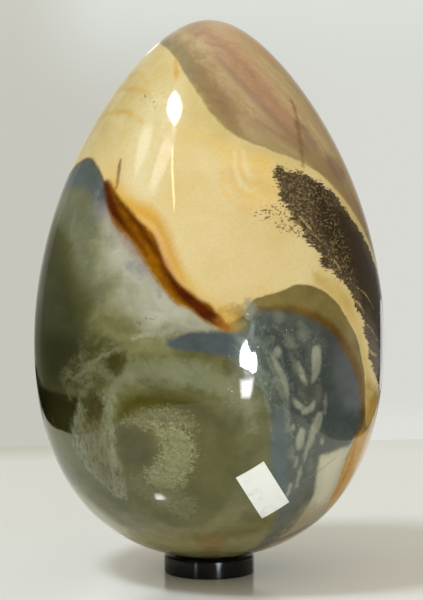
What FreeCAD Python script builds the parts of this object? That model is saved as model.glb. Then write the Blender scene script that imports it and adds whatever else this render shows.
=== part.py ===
"""Stone egg standing on a ring stand, with a small paper label stuck on its lower front.

Millimetres, +Z up. The origin is the middle of the ring stand's foot, on the surface that it stands on.
The egg's axis is +Z. Its front faces -Y, and the label is on the front, a little towards +X.
"""

import FreeCAD, Part

import math
import os

from FreeCAD import Rotation, Vector

# Egg: a polished solid of revolution, blunt end down
EGG_HEIGHT = 148.0
EGG_WIDTH = 96.4
EGG_TAPER_SHARE = 0.20  # of the half width, taken from the upper half and given to the lower half
EGG_TIP_SHARE = 0.115  # the same, but felt close to the two ends only
EGG_SPANS = 6  # cubic curves in the outline from the lowest point to the top

# Ring stand: a turned ring, whose rounded inner edge carries the egg
RING_DIAMETER = 25.0
RING_BORE_DIAMETER = 14.0
RING_HEIGHT = 5.0
SEAT_ROUND = 1.0  # radius of the inner edge at the top
RIM_ROUND = 0.5  # radius of the outer edge at the top
FOOT_ROUND = 0.4  # radius of both edges at the foot
SEAT_GAP = 0.1  # running gap between the egg and its seat

# Paper label, glued to the egg
LABEL_WIDTH = 8.4
LABEL_LENGTH = 17.0
LABEL_THICKNESS = 0.1
GLUE_THICKNESS = 0.02
LABEL_TURN_DEG = 20.5  # round the egg from its front, towards +X
LABEL_RISE_SHARE = 0.163  # of the egg's height, from its lowest point
LABEL_LEAN_DEG = 35.4  # of the label's length from straight up the egg, towards -X

AXIS = Vector(0, 0, 1)
ORIGIN = Vector(0, 0, 0)
FULL_TURN_DEG = 360.0
QUARTER_TURN = math.pi / 2
HALVINGS = 60  # steps in each search by halving
NUDGE = 1e-3  # small turn, in radians, over which the outline's slope is taken


def halve(low, high, is_past):
    """Value between low and high at which is_past turns from false to true."""
    for _ in range(HALVINGS):
        middle = (low + high) / 2
        if is_past(middle):
            high = middle
        else:
            low = middle
    return (low + high) / 2


def unit_radius(turn):
    """Radius of the egg's outline at turn, before it is brought to EGG_WIDTH.

    turn is an angle: minus a quarter turn is the lowest point, and a quarter turn is the top.
    """
    rise = math.sin(turn)
    return math.cos(turn) * (1 - EGG_TAPER_SHARE * rise - EGG_TIP_SHARE * rise**3)


def unit_radius_rate(turn):
    """Rate at which unit_radius grows with turn."""
    rise = math.sin(turn)
    run = math.cos(turn)
    body = 1 - EGG_TAPER_SHARE * rise - EGG_TIP_SHARE * rise**3
    return -rise * body - run**2 * (EGG_TAPER_SHARE + 3 * EGG_TIP_SHARE * rise**2)


def outline_scale():
    """Length by which unit_radius is multiplied, so that the egg is EGG_WIDTH across at its widest."""
    widest = halve(-QUARTER_TURN, QUARTER_TURN, lambda turn: unit_radius_rate(turn) < 0)
    return EGG_WIDTH / 2 / unit_radius(widest)


def outline_normal(turn):
    """Outward direction of the egg's outline at turn, as (out, up)."""
    out_rate = outline_scale() * unit_radius_rate(turn)
    up_rate = EGG_HEIGHT / 2 * math.cos(turn)
    speed = math.hypot(out_rate, up_rate)
    return up_rate / speed, -out_rate / speed


def outline_point(turn, grow=0.0):
    """Point of the egg's outline at turn, moved outwards by grow, as (radius, height over its end)."""
    out, up = outline_normal(turn)
    radius = outline_scale() * unit_radius(turn) + grow * out
    height = EGG_HEIGHT / 2 * (1 + math.sin(turn)) + grow * up
    return radius, height


def egg_lift():
    """Height of the egg's lowest point when it rests in the ring, SEAT_GAP clear of the rounded inner edge.

    The outline, grown by that edge's radius and the gap, then passes through the centre of the edge's arc.
    """
    arc_radius = RING_BORE_DIAMETER / 2 + SEAT_ROUND
    arc_height = RING_HEIGHT - SEAT_ROUND
    grow = SEAT_ROUND + SEAT_GAP
    touch = halve(-QUARTER_TURN, 0, lambda turn: outline_point(turn, grow)[0] > arc_radius)
    return arc_height - outline_point(touch, grow)[1]


def outline_vector(turn, grow):
    """Point of the egg's outline at turn, grown by grow, with the egg resting on the ring.

    Its radius is rounded to 9 decimal places, so that the outline's two ends lie on the axis.
    """
    radius, height = outline_point(turn, grow)
    return Vector(round(radius, 9), 0, egg_lift() + height)


def curve_handle(turn, grow, length):
    """Handle at turn of a cubic curve that covers this length of turn, a third of what the outline moves."""
    ahead = outline_vector(turn + NUDGE, grow)
    behind = outline_vector(turn - NUDGE, grow)
    return (ahead - behind) / (2 * NUDGE) * length / 3


def outline_curve(start, end, grow):
    """Cubic curve along the egg's outline, grown by grow, with the outline's own slope at both ends."""
    first = outline_vector(start, grow)
    last = outline_vector(end, grow)
    leave = first + curve_handle(start, grow, end - start)
    meet = last - curve_handle(end, grow, end - start)
    curve = Part.BezierCurve()
    curve.setPoles([first, leave, meet, last])
    return curve.toShape()


def egg_solid(grow=0.0):
    """The egg where it rests on the ring, moved outwards by grow all over."""
    turns = [math.pi * span / EGG_SPANS - QUARTER_TURN for span in range(EGG_SPANS + 1)]
    curves = [outline_curve(start, end, grow) for start, end in zip(turns, turns[1:])]
    core = Part.makeLine(curves[-1].Vertexes[-1].Point, curves[0].Vertexes[0].Point)
    section = Part.Face(Part.Wire([*curves, core]))
    return section.revolve(ORIGIN, AXIS, FULL_TURN_DEG)


def rounded_corner(radius, height, rounding, quarter):
    """Arc of the given rounding in a square corner of the ring's section.

    The arc runs anticlockwise for a quarter turn, and starts at this many quarter turns from +X.
    """
    middle = (quarter + 1 / 2) * QUARTER_TURN
    centre_x = radius - math.copysign(rounding, math.cos(middle))
    centre_z = height - math.copysign(rounding, math.sin(middle))
    turns = [quarter * QUARTER_TURN, middle, (quarter + 1) * QUARTER_TURN]
    points = [
        Vector(centre_x + rounding * math.cos(turn), 0, centre_z + rounding * math.sin(turn))
        for turn in turns
    ]
    return Part.Arc(*points).toShape()


def ring_solid():
    """The ring: straight walls, a rounded seat for the egg and a small round on its other edges."""
    bore = RING_BORE_DIAMETER / 2
    outside = RING_DIAMETER / 2
    arcs = [
        rounded_corner(outside, 0, FOOT_ROUND, -1),
        rounded_corner(outside, RING_HEIGHT, RIM_ROUND, 0),
        rounded_corner(bore, RING_HEIGHT, SEAT_ROUND, 1),
        rounded_corner(bore, 0, FOOT_ROUND, 2),
    ]
    edges = []
    for arc, next_arc in zip(arcs, [*arcs[1:], arcs[0]]):
        edges.append(arc)
        edges.append(Part.makeLine(arc.Vertexes[-1].Point, next_arc.Vertexes[0].Point))
    section = Part.Face(Part.Wire(edges))
    return section.revolve(ORIGIN, AXIS, FULL_TURN_DEG)


def label_place():
    """Placement on the stone at the label's middle: X across it, Y along it, Z straight out."""
    rise = math.asin(2 * LABEL_RISE_SHARE - 1)
    side = math.radians(LABEL_TURN_DEG)
    radius, height = outline_point(rise)
    out, up = outline_normal(rise)
    level = Vector(math.sin(side), -math.cos(side), 0)
    normal = level * out + AXIS * up
    lean = Rotation(normal, LABEL_LEAN_DEG)
    across = lean.multVec(AXIS.cross(level))
    along = normal.cross(across)
    middle = level * radius + AXIS * (egg_lift() + height)
    return FreeCAD.Placement(middle, Rotation(across, along, normal))


def label_solid():
    """A cut rectangle of paper that follows the egg's curve, one film of glue away from the stone."""
    reach = math.hypot(LABEL_WIDTH, LABEL_LENGTH) / 2
    corner = Vector(-LABEL_WIDTH / 2, -LABEL_LENGTH / 2, -reach)
    cutter = Part.makeBox(LABEL_WIDTH, LABEL_LENGTH, 2 * reach, corner)
    cutter.Placement = label_place()
    up_to_face = egg_solid(GLUE_THICKNESS + LABEL_THICKNESS).common(cutter)
    return up_to_face.cut(egg_solid(GLUE_THICKNESS))


def save(name, shape):
    """Writes the one solid of shape as parts/NAME.step, and prints its size."""
    solid = shape.Solids[0]
    if len(shape.Solids) != 1 or not solid.isValid() or not solid.isClosed():
        raise ValueError(f"{name} is not one valid closed solid")
    solid.exportStep(os.path.join("parts", f"{name}.step"))
    print(name, f"{solid.Volume:.3f} mm3", solid.optimalBoundingBox(False, False))


def main():
    """Builds and writes every piece."""
    os.makedirs("parts", exist_ok=True)
    save("ring_stand", ring_solid())
    save("stone_egg", egg_solid())
    save("paper_label", label_solid())
    print(f"lowest point of the egg {egg_lift():.4f} mm above the foot")


main()
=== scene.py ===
"""Polished stone egg on a gloss black ring stand, with a small bare paper label on its lower front.

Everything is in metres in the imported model's frame: +Z up, the ring's foot on the floor and the egg's front
to -Y. Places on the stone are pairs: the turn round the egg from its front, in degrees towards +X, and the
height above its lowest point, in percent of the egg's height. Widths and depths on the stone are in mm.
"""

from __future__ import annotations

import logging
import math
from dataclasses import dataclass, field
from enum import Enum
from typing import Iterable, Sequence, Union

import bpy
import numpy as np
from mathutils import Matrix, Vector


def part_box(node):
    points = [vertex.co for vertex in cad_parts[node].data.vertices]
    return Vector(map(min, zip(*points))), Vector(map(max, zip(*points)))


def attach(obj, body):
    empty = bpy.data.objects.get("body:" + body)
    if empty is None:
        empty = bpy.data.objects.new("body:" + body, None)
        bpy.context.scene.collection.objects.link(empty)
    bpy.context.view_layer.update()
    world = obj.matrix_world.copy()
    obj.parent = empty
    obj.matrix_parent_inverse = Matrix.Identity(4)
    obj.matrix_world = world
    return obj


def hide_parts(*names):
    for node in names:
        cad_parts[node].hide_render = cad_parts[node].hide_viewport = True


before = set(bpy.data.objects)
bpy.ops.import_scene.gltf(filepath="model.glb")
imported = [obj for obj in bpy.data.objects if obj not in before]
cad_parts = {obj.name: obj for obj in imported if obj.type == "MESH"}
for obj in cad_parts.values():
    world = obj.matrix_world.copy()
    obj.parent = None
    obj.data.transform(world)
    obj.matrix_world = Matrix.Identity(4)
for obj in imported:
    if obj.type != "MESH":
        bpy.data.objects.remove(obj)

LOG = logging.getLogger("egg")
MM = 0.001
FULL_TURN = 360.0  # degrees
NOISE_SPAN = (0.28, 0.72)  # nearly all of a noise lies in it
GRAIN_SEED = 37.0  # from one shared field to the next
WARP_SCALE = 0.6  # of the field that warps another, against that one
WARP_DETAIL = 2.0
WARP_GAIN = 4.0  # such a field swings by about a quarter
WITHIN_EDGE = 0.4  # mm, half the soft edge of a zone for what stays within it
UNSEEN = ("camera", "diffuse", "transmission", "volume_scatter", "shadow")  # what a glow is hidden from

Place = tuple[float, float]
Colour = tuple[int, int, int]
Socket = bpy.types.NodeSocket
Feed = Union[Socket, float, Sequence[float]]


def linear(colour: Colour) -> tuple[float, float, float, float]:
    """Turn a screen colour into the linear colour that a shader socket takes.

    Args:
        colour: red, green and blue from 0 to 255.

    Returns:
        Linear red, green, blue and full opacity.
    """
    shares = [part / 255 for part in colour]
    made = [share / 12.92 if share <= 0.04045 else ((share + 0.055) / 1.055) ** 2.4 for share in shares]
    return made[0], made[1], made[2], 1.0


@dataclass(frozen=True)
class Noise:
    """A smooth random field from 0 to 1 with a mean of one half.

    Args:
        size: size of its largest lumps in mm.
        detail: how many finer fields are added to it.
        roughness: how strong those finer fields are.
        stretch: how much finer it is along each axis.
        warp: how far, in mm, a second field pushes it about.
        tilt: turn of its first axis about Y in degrees, downwards at +X.
        seed: distance that it is moved along each axis, so that two fields differ.
    """

    size: float
    detail: float = 3.0
    roughness: float = 0.55
    stretch: tuple[float, float, float] = (1.0, 1.0, 1.0)
    warp: float = 0.0
    tilt: float = 0.0
    seed: float = 0.0


class Grain(Enum):
    """Noise fields that zones share, by the settings of Noise up to the tilt."""

    SMOKE = (24.0, 3.0, 0.50, (1.0, 1.0, 1.0), 6.0, 0.0)
    CLOUD = (8.0, 5.0, 0.58, (1.0, 1.0, 1.3), 3.0, 0.0)
    MOTTLE = (2.6, 5.0, 0.66, (1.0, 1.0, 1.2), 1.2, 0.0)
    SPECK = (0.9, 3.0, 0.60, (1.0, 1.0, 1.4), 0.0, 0.0)
    NEEDLE = (3.4, 5.0, 0.68, (1.0, 1.0, 4.5), 0.7, 0.0)
    STREAK = (7.0, 5.0, 0.62, (1.0, 1.0, 3.2), 2.5, 0.0)
    SLANT = (2.4, 5.0, 0.62, (0.13, 1.0, 1.0), 1.0, 48.0)
    FIBRE = (1.2, 4.0, 0.72, (1.0, 1.0, 0.45), 0.6, 0.0)
    RIPPLE = (0.8, 4.0, 0.66, (0.6, 0.6, 1.15), 0.8, 0.0)
    RISE = (3.6, 5.0, 0.66, (0.22, 0.6, 1.0), 1.4, -24.0)


@dataclass(frozen=True)
class EggOutline:
    """The egg's outline, a curve from its lowest point to its top, turned about the Z axis."""

    bottom: float
    height: float
    width: float
    taper_share: float = 0.20
    tip_share: float = 0.115
    samples: int = 4001
    nudge: float = 0.05

    def table(self) -> tuple[np.ndarray, np.ndarray, np.ndarray, np.ndarray]:
        """Follow the outline in small steps.

        Returns:
            Height percent, radius, height over the floor and length of outline so far, at every step.
        """
        angle = np.linspace(-math.pi / 2, math.pi / 2, self.samples)
        rise = np.sin(angle)
        unit = np.cos(angle) * (1 - self.taper_share * rise - self.tip_share * rise**3)
        radius = unit * self.width / 2 / unit.max()
        level = self.bottom + self.height * (1 + rise) / 2
        steps = np.hypot(np.diff(radius), np.diff(level))
        return 50 * (1 + rise), radius, level, np.concatenate([[0.0], np.cumsum(steps)])

    def radius(self, percent: np.ndarray | float) -> np.ndarray:
        """Radius at a height in percent."""
        rises, radii, _, _ = self.table()
        return np.interp(percent, rises, radii)

    def level(self, percent: np.ndarray | float) -> np.ndarray:
        """Height over the floor at a height in percent."""
        return self.bottom + self.height * np.asarray(percent) / 100

    def normal(self, percent: float) -> tuple[float, float]:
        """Outward direction at a height in percent, as (out, up)."""
        low, high = max(percent - self.nudge, 0.0), min(percent + self.nudge, 100.0)
        run = float(self.radius(high) - self.radius(low))
        climb = float(self.level(high) - self.level(low))
        length = math.hypot(run, climb)
        return climb / length, -run / length

    def point(self, place: Place) -> Vector:
        """Point of the surface at a place."""
        turn = math.radians(place[0])
        radius = float(self.radius(place[1]))
        return Vector((radius * math.sin(turn), -radius * math.cos(turn), float(self.level(place[1]))))

    def facing(self, place: Place) -> Vector:
        """Outward direction of the surface at a place."""
        turn = math.radians(place[0])
        out, up = self.normal(place[1])
        return Vector((out * math.sin(turn), -out * math.cos(turn), up))


def smooth(points: Sequence[Sequence[float]], closed: bool, steps: int = 5) -> np.ndarray:
    """Draw a smooth line through points.

    Args:
        points: rows of numbers, the first two a place and any others carried along.
        closed: whether the line comes back to its first point.
        steps: straight pieces from each point to the next.

    Returns:
        Rows like those of points, closer together.
    """
    rows = np.array(points, float)
    ends = [rows[-1:], rows, rows[:2]] if closed else [rows[:1], rows, rows[-1:]]
    held = np.concatenate(ends)
    share = (np.arange(steps) / steps)[:, None]
    drawn = []
    for a, b, c, d in zip(held, held[1:], held[2:], held[3:]):
        bend = 2 * b + (c - a) * share + (2 * a - 5 * b + 4 * c - d) * share**2
        drawn.append((bend + (3 * b - a - 3 * c + d) * share**3) / 2)
    if not closed:
        drawn.append(rows[-1:])
    return np.concatenate(drawn)


@dataclass
class StoneChart:
    """A grid over the stone on which depths inside drawn lines are measured, all in mm.

    Its columns are turns in degrees. Its rows are lengths of outline up from the lowest point, each with
    its radius there.
    """

    outline: EggOutline
    turns: np.ndarray
    arcs: np.ndarray
    radii: np.ndarray
    reach: float = 16.0
    tile: int = 12

    def __post_init__(self) -> None:
        """Cut the grid into tiles, so that each is measured only against the lines close to it."""
        rows = [slice(first, first + self.tile) for first in range(0, len(self.arcs), self.tile)]
        columns = [slice(first, first + self.tile) for first in range(0, len(self.turns), self.tile)]
        self.tiles = [(row, column) for row in rows for column in columns]
        self.edges = np.array([
            (self.turns[column][0], self.turns[column][-1], self.arcs[row][0], self.arcs[row][-1])
            for row, column in self.tiles
        ])
        self.degree = np.array([math.radians(self.radii[row].min()) for row, _ in self.tiles])

    def arc_at(self, percent: np.ndarray) -> np.ndarray:
        """Length of outline, in mm, from the lowest point up to a height in percent."""
        rises, _, _, arcs = self.outline.table()
        return np.interp(percent, rises, arcs / MM)

    def close(self, tiles: np.ndarray, low: np.ndarray, high: np.ndarray, room: float) -> np.ndarray:
        """Tell which tiles and boxes of turn and arc come within room of each other."""
        edges, degree = self.edges[tiles], self.degree[tiles]
        near = (edges[:, 2, None] - high[:, 1] < room) & (low[:, 1] - edges[:, 3, None] < room)
        near &= (edges[:, 0, None] - high[:, 0]) * degree[:, None] < room
        return near & ((low[:, 0] - edges[:, 1, None]) * degree[:, None] < room)

    def away(self, line: np.ndarray, half_width: np.ndarray) -> np.ndarray:
        """Measure how far every point of the grid lies outside a line.

        Args:
            line: rows of turn in degrees and arc in mm.
            half_width: half the line's width at each row.

        Returns:
            Distance from the line's edge in mm, at most the reach.
        """
        found = np.full((len(self.arcs), len(self.turns)), self.reach)
        room = self.reach + float(half_width.max())
        for shift in (-FULL_TURN, 0.0, FULL_TURN):
            start, stop = line[:-1] + (shift, 0), line[1:] + (shift, 0)
            low, high = np.minimum(start, stop), np.maximum(start, stop)
            every = np.arange(len(self.tiles))
            whole = self.close(every, low.min(axis=0, keepdims=True), high.max(axis=0, keepdims=True), room)
            for index in np.flatnonzero(whole[:, 0]):
                near = np.flatnonzero(self.close(np.array([index]), low, high, room)[0])
                if not len(near):
                    continue
                rows, columns = self.tiles[index]
                scale = np.radians(self.radii[rows])[:, None, None]
                ax = (start[near, 0] - self.turns[columns, None]) * scale
                ay = (start[near, 1] - self.arcs[rows, None])[:, None, :]
                dx = (stop - start)[near, 0] * scale
                dy = (stop - start)[near, 1]
                along = np.clip(-(ax * dx + ay * dy) / np.maximum(dx**2 + dy**2, 1e-12), 0, 1)
                wide = half_width[near] * (1 - along) + half_width[near + 1] * along
                gaps = np.hypot(ax + along * dx, ay + along * dy) - wide
                found[rows, columns] = np.minimum(found[rows, columns], gaps.min(axis=2))
        return found

    def inside(self, line: np.ndarray) -> np.ndarray:
        """Tell which points of the grid a closed line holds."""
        held = np.zeros((len(self.arcs), len(self.turns)), bool)
        start, stop = line[:-1], line[1:]
        for row in np.flatnonzero((self.arcs > line[:, 1].min()) & (self.arcs < line[:, 1].max())):
            arc = self.arcs[row]
            crossing = (start[:, 1] > arc) != (stop[:, 1] > arc)
            (x0, y0), (x1, y1) = start[crossing].T, stop[crossing].T
            turns = np.sort(x0 + (arc - y0) / (y1 - y0) * (x1 - x0))
            for shift in (-FULL_TURN, 0.0, FULL_TURN):
                held[row] ^= np.searchsorted(turns + shift, self.turns) % 2 == 1
        return held


@dataclass(frozen=True)
class Patch:
    """A closed shape on the stone."""

    points: tuple[Place, ...]

    def depth(self, chart: StoneChart) -> np.ndarray:
        """Depth of the whole grid inside the shape, in mm."""
        line = smooth(self.points, closed=True)
        line[:, 1] = chart.arc_at(line[:, 1])
        line = np.concatenate([line, line[:1]])
        return chart.away(line, np.zeros(len(line))) * np.where(chart.inside(line), 1, -1)


@dataclass(frozen=True)
class Stroke:
    """A line on the stone. Each point is turn, height percent and width in mm."""

    points: tuple[tuple[float, float, float], ...]

    def depth(self, chart: StoneChart) -> np.ndarray:
        """Depth of the whole grid inside the stroke, in mm."""
        line = smooth(self.points, closed=False)
        route = np.stack([line[:, 0], chart.arc_at(line[:, 1])], axis=1)
        return -chart.away(route, np.maximum(line[:, 2], 0) / 2)


@dataclass(frozen=True)
class Shore:
    """All of the stone above or below a line that runs right round the egg."""

    points: tuple[Place, ...]
    above: bool = False

    def depth(self, chart: StoneChart) -> np.ndarray:
        """Depth of the whole grid past the line, in mm."""
        rows = np.array(self.points, float)
        shift = (FULL_TURN, 0.0)
        line = smooth(np.concatenate([rows - shift, rows, rows + shift]), closed=False)
        line[:, 1] = chart.arc_at(line[:, 1])
        past = chart.arcs[:, None] > np.interp(chart.turns, line[:, 0], line[:, 1])
        return chart.away(line, np.zeros(len(line))) * np.where(past == self.above, 1, -1)


Shape = Union[Patch, Stroke, Shore]


@dataclass(frozen=True)
class Mineral:
    """How a zone of the stone looks: two tones parted by a grain, or bands of tone from the edge inwards."""

    light: Colour
    dark: Colour
    grain: Grain = Grain.CLOUD
    share: float = 0.5
    contrast: float = 1.0
    edge: float = 1.0
    fray: float = 0.4
    fray_grain: Grain = Grain.MOTTLE
    inset: float = 0.0
    deepest: float = 99.0
    cover: float = 1.0
    bands: tuple[tuple[float, Colour], ...] = ()


@dataclass(frozen=True)
class Zone:
    """One zone of the stone: its shapes, how it looks, and another zone that it stays within."""

    name: str
    shapes: tuple[Shape, ...]
    mineral: Mineral
    within: str = ""

    def depth(self, chart: StoneChart) -> np.ndarray:
        """Depth of the whole grid inside the deepest of the zone's shapes, in mm."""
        return np.maximum.reduce([shape.depth(chart) for shape in self.shapes])


class Painter:
    """Lays the shader nodes of one material or world and hands back the sockets that carry on."""

    def __init__(self, owner: Union[bpy.types.Material, bpy.types.World]) -> None:
        """Start from an empty node tree.

        Args:
            owner: the material or world to paint.
        """
        owner.use_nodes = True
        self.owner = owner
        self.tree = owner.node_tree
        self.tree.nodes.clear()
        self.fields: dict[object, Socket] = {}

    @classmethod
    def material(cls, name: str) -> Painter:
        """Start a new material."""
        return cls(bpy.data.materials.new(name))

    def node(self, kind: str, feeds: dict[Union[str, int], Feed], **settings: object) -> bpy.types.Node:
        """Add one node.

        Args:
            kind: Blender's name for the node.
            feeds: what each named or numbered input gets, a socket or a plain value.
            **settings: the node's own settings.

        Returns:
            The node.
        """
        made = self.tree.nodes.new(kind)
        for key, value in settings.items():
            setattr(made, key, value)
        for key, feed in feeds.items():
            if isinstance(feed, bpy.types.NodeSocket):
                self.tree.links.new(feed, made.inputs[key])
            else:
                made.inputs[key].default_value = feed
        return made

    def math(self, operation: str, *feeds: Feed) -> Socket:
        """Work out one sum of plain numbers."""
        return self.node("ShaderNodeMath", dict(enumerate(feeds)), operation=operation).outputs[0]

    def product(self, *feeds: Feed) -> Socket:
        """Multiply two numbers."""
        return self.math("MULTIPLY", *feeds)

    def shade(self, colour: Feed, field: Socket, low: float, high: float) -> Socket:
        """Make a colour a little darker and lighter by a field."""
        value = self.step(field, 0.0, 1.0, low, high)
        grey = self.node("ShaderNodeCombineColor", {0: value, 1: value, 2: value}).outputs[0]
        return self.mix(1.0, colour, grey, blend="MULTIPLY")

    def step(self, value: Feed, low: float, high: float, bottom: float = 0.0, top: float = 1.0) -> Socket:
        """Go softly from bottom to top while value goes from low to high."""
        feeds = {"Value": value, "From Min": low, "From Max": high, "To Min": bottom, "To Max": top}
        made = self.node("ShaderNodeMapRange", feeds, interpolation_type="SMOOTHSTEP")
        return made.outputs["Result"]

    def mix(self, share: Feed, under: Feed, over: Feed, blend: str = "MIX") -> Socket:
        """Lay one colour over another."""
        made = self.node("ShaderNodeMix", {0: share, 6: under, 7: over}, data_type="RGBA", blend_type=blend)
        return made.outputs[2]

    def ramp(self, value: Feed, stops: Sequence[tuple[float, Colour]]) -> Socket:
        """Give a colour that goes from stop to stop.

        Args:
            value: a number from 0 to 1.
            stops: each stop's place from 0 to 1 and its colour.

        Returns:
            The colour's socket.
        """
        made = self.node("ShaderNodeValToRGB", {"Fac": value})
        steps = made.color_ramp.elements
        while len(steps) < len(stops):
            steps.new(1.0)
        for element, (place, colour) in zip(steps, stops):
            element.position = place
            element.color = linear(colour)
        return made.outputs["Color"]

    def attribute(self, name: str) -> Socket:
        """Read a number that the mesh holds."""
        if name not in self.fields:
            made = self.node("ShaderNodeAttribute", {}, attribute_name=name)
            self.fields[name] = made.outputs["Fac"]
        return self.fields[name]

    def place(self) -> Socket:
        """Give the place on the piece, in mm."""
        if "place" not in self.fields:
            own = self.node("ShaderNodeTexCoord", {}).outputs["Object"]
            made = self.node("ShaderNodeVectorMath", {0: own, "Scale": 1 / MM}, operation="SCALE")
            self.fields["place"] = made.outputs["Vector"]
        return self.fields["place"]

    def noise(self, noise: Noise) -> Socket:
        """Lay a random field, and hand back its socket."""
        place = self.place()
        if noise.warp:
            feeds = {"Vector": place, "Scale": WARP_SCALE / noise.size, "Detail": WARP_DETAIL}
            push = self.node("ShaderNodeTexNoise", feeds)
            feeds = {0: push.outputs["Color"], 1: (0.5, 0.5, 0.5)}
            centred = self.node("ShaderNodeVectorMath", feeds, operation="SUBTRACT")
            feeds = {0: centred.outputs["Vector"], 1: (noise.warp * WARP_GAIN,) * 3, 2: place}
            place = self.node("ShaderNodeVectorMath", feeds, operation="MULTIPLY_ADD").outputs["Vector"]
        feeds = {
            "Vector": place,
            "Location": (-noise.seed,) * 3,
            "Rotation": (0.0, math.radians(noise.tilt), 0.0),
            "Scale": tuple(1 / share for share in noise.stretch),
        }
        spread = self.node("ShaderNodeMapping", feeds, vector_type="TEXTURE").outputs["Vector"]
        feeds = {"Vector": spread, "Scale": 1 / noise.size, "Detail": noise.detail}
        lumps = self.node("ShaderNodeTexNoise", {**feeds, "Roughness": noise.roughness}).outputs["Fac"]
        feeds = {"Value": lumps, "From Min": NOISE_SPAN[0], "From Max": NOISE_SPAN[1]}
        return self.node("ShaderNodeMapRange", feeds).outputs["Result"]

    def grain(self, grain: Grain) -> Socket:
        """Give one of the stone's shared fields, made once."""
        if grain not in self.fields:
            seed = GRAIN_SEED * (1 + list(Grain).index(grain))
            self.fields[grain] = self.noise(Noise(*grain.value, seed))
        return self.fields[grain]

    def lay(self, layer: Zone, under: Socket, reach: float) -> Socket:
        """Lay one zone of the stone over what is there.

        Args:
            layer: the zone.
            under: the colour so far.
            reach: the depth in mm at which the zone's bands end.

        Returns:
            The colour with the zone on it.
        """
        look = layer.mineral
        depth = self.attribute(layer.name)
        push = self.math("MULTIPLY_ADD", self.grain(look.fray_grain), 2 * look.fray, -look.fray - look.inset)
        frayed = self.math("ADD", self.math("MINIMUM", depth, look.deepest), push)
        mask = self.step(frayed, -look.edge / 2, look.edge / 2, 0.0, look.cover)
        if layer.within:
            kept = self.step(self.attribute(layer.within), -WITHIN_EDGE, WITHIN_EDGE)
            mask = self.product(mask, kept)
        if look.bands:
            drift = self.math("MULTIPLY_ADD", self.grain(look.grain), 2 * look.contrast, -look.contrast)
            inwards = self.math("DIVIDE", self.math("ADD", depth, drift), reach)
            tone = self.ramp(inwards, [(mm / reach, colour) for mm, colour in look.bands])
        else:
            half = 0.5 / look.contrast
            middle = 1 - look.share
            parted = self.step(self.grain(look.grain), middle - half, middle + half)
            tone = self.mix(parted, linear(look.dark), linear(look.light))
        return self.mix(mask, under, tone)

    def bump(self, height: Socket, distance: float, strength: float) -> Socket:
        """Give the surface a fine relief."""
        feeds = {"Height": height, "Distance": distance, "Strength": strength}
        return self.node("ShaderNodeBump", feeds).outputs["Normal"]

    def finish(self, shader: bpy.types.Node) -> bpy.types.Material:
        """End the material in a shader and hand it back."""
        self.node("ShaderNodeOutputMaterial", {"Surface": shader.outputs[0]})
        return self.owner


def add_piece(name: str, vertices: np.ndarray, faces: Iterable[Sequence[int]]) -> bpy.types.Object:
    """Make a smooth mesh piece.

    Args:
        name: the piece's name.
        vertices: one row of x, y, z in metres for each vertex.
        faces: the vertices of each face, anticlockwise from outside.

    Returns:
        The object, linked to the scene.
    """
    mesh = bpy.data.meshes.new(name)
    mesh.from_pydata([tuple(row) for row in vertices.tolist()], [], [tuple(face) for face in faces])
    mesh.shade_smooth()
    made = bpy.data.objects.new(name, mesh)
    bpy.context.scene.collection.objects.link(made)
    return made


def add_card(name: str, corners: Sequence[Sequence[float]]) -> bpy.types.Object:
    """Make a flat piece of one face."""
    return add_piece(name, np.array(corners), [tuple(range(len(corners)))])


# Lines that several zones of the stone share

RUST_UNDER = (
    (-44, 70.5), (-41, 68), (-38, 65.5), (-35, 63.5), (-30, 61.8), (-25, 59.6), (-20, 56.2), (-15, 52.8),
    (-10, 50.1), (-5, 49), (-2, 47.5), (0, 46.8), (3, 46), (6, 45.5),
)
RUST_OVER = (
    (6, 46.5), (4, 47.5), (2, 49), (0, 50.2), (-3, 50.6), (-6, 52), (-10, 54.1), (-12, 56), (-15, 58.5),
    (-17, 61), (-20, 62.5), (-25, 64.3), (-30, 66.2), (-35, 67.8), (-40, 70.3), (-43, 71),
)
LOBE_OUTSIDE = (
    (11.5, 48.5), (13, 50), (15, 51), (20, 51.6), (24, 52.2), (27.5, 52.9), (30, 53), (35, 52.7), (40, 51.5),
    (45, 49.4), (50, 46), (54.2, 42.9), (56.7, 39.4), (59.2, 36.3), (60.8, 32.6), (62.5, 30), (64.2, 27.9),
    (66.7, 25.7),
)
LOBE_INSIDE = (
    (15, 49.2), (20, 49.3), (25, 49.1), (30, 48.5), (35, 47.6), (40, 46), (45, 43.7), (48.3, 41.5),
    (51.7, 39.4), (55, 37), (57.5, 34.4), (60.2, 30.4), (61.5, 28.4), (62.2, 26.6), (60.8, 25.2),
)
LEFT_SHORE = (
    (-85, 71.5), (-80, 72), (-75, 73.2), (-70, 74), (-65, 74.6), (-62, 74.7), (-58, 74.5), (-54, 73.7),
    (-50, 72.6), (-46, 71.2), (-44, 70.5),
)
BACK_SHORE = (
    (72, 25), (80, 24.5), (90, 23), (110, 26), (140, 33), (170, 42), (200, 52), (230, 61), (255, 67),
)
CAP_SHORE = (
    (-85, 95.7), (-70, 95.6), (-60, 95.3), (-50, 94.9), (-40, 94.2), (-30, 93), (-25, 92.2), (-20, 90.9),
    (-15, 89.5), (-10, 87.7), (-5, 85.8), (0, 83.4), (5, 81.3), (10, 79.5), (15, 78.4), (20, 77.6),
    (25, 76.9), (30, 76), (40, 74.5), (45, 73.4), (50, 72.2), (55, 70.5), (60, 68.4), (65, 66.1), (70, 63.2),
    (75, 59.8), (80, 56.6), (90, 51), (105, 46), (125, 46), (150, 56), (175, 70), (200, 82), (230, 91),
    (255, 94.8),
)


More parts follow.
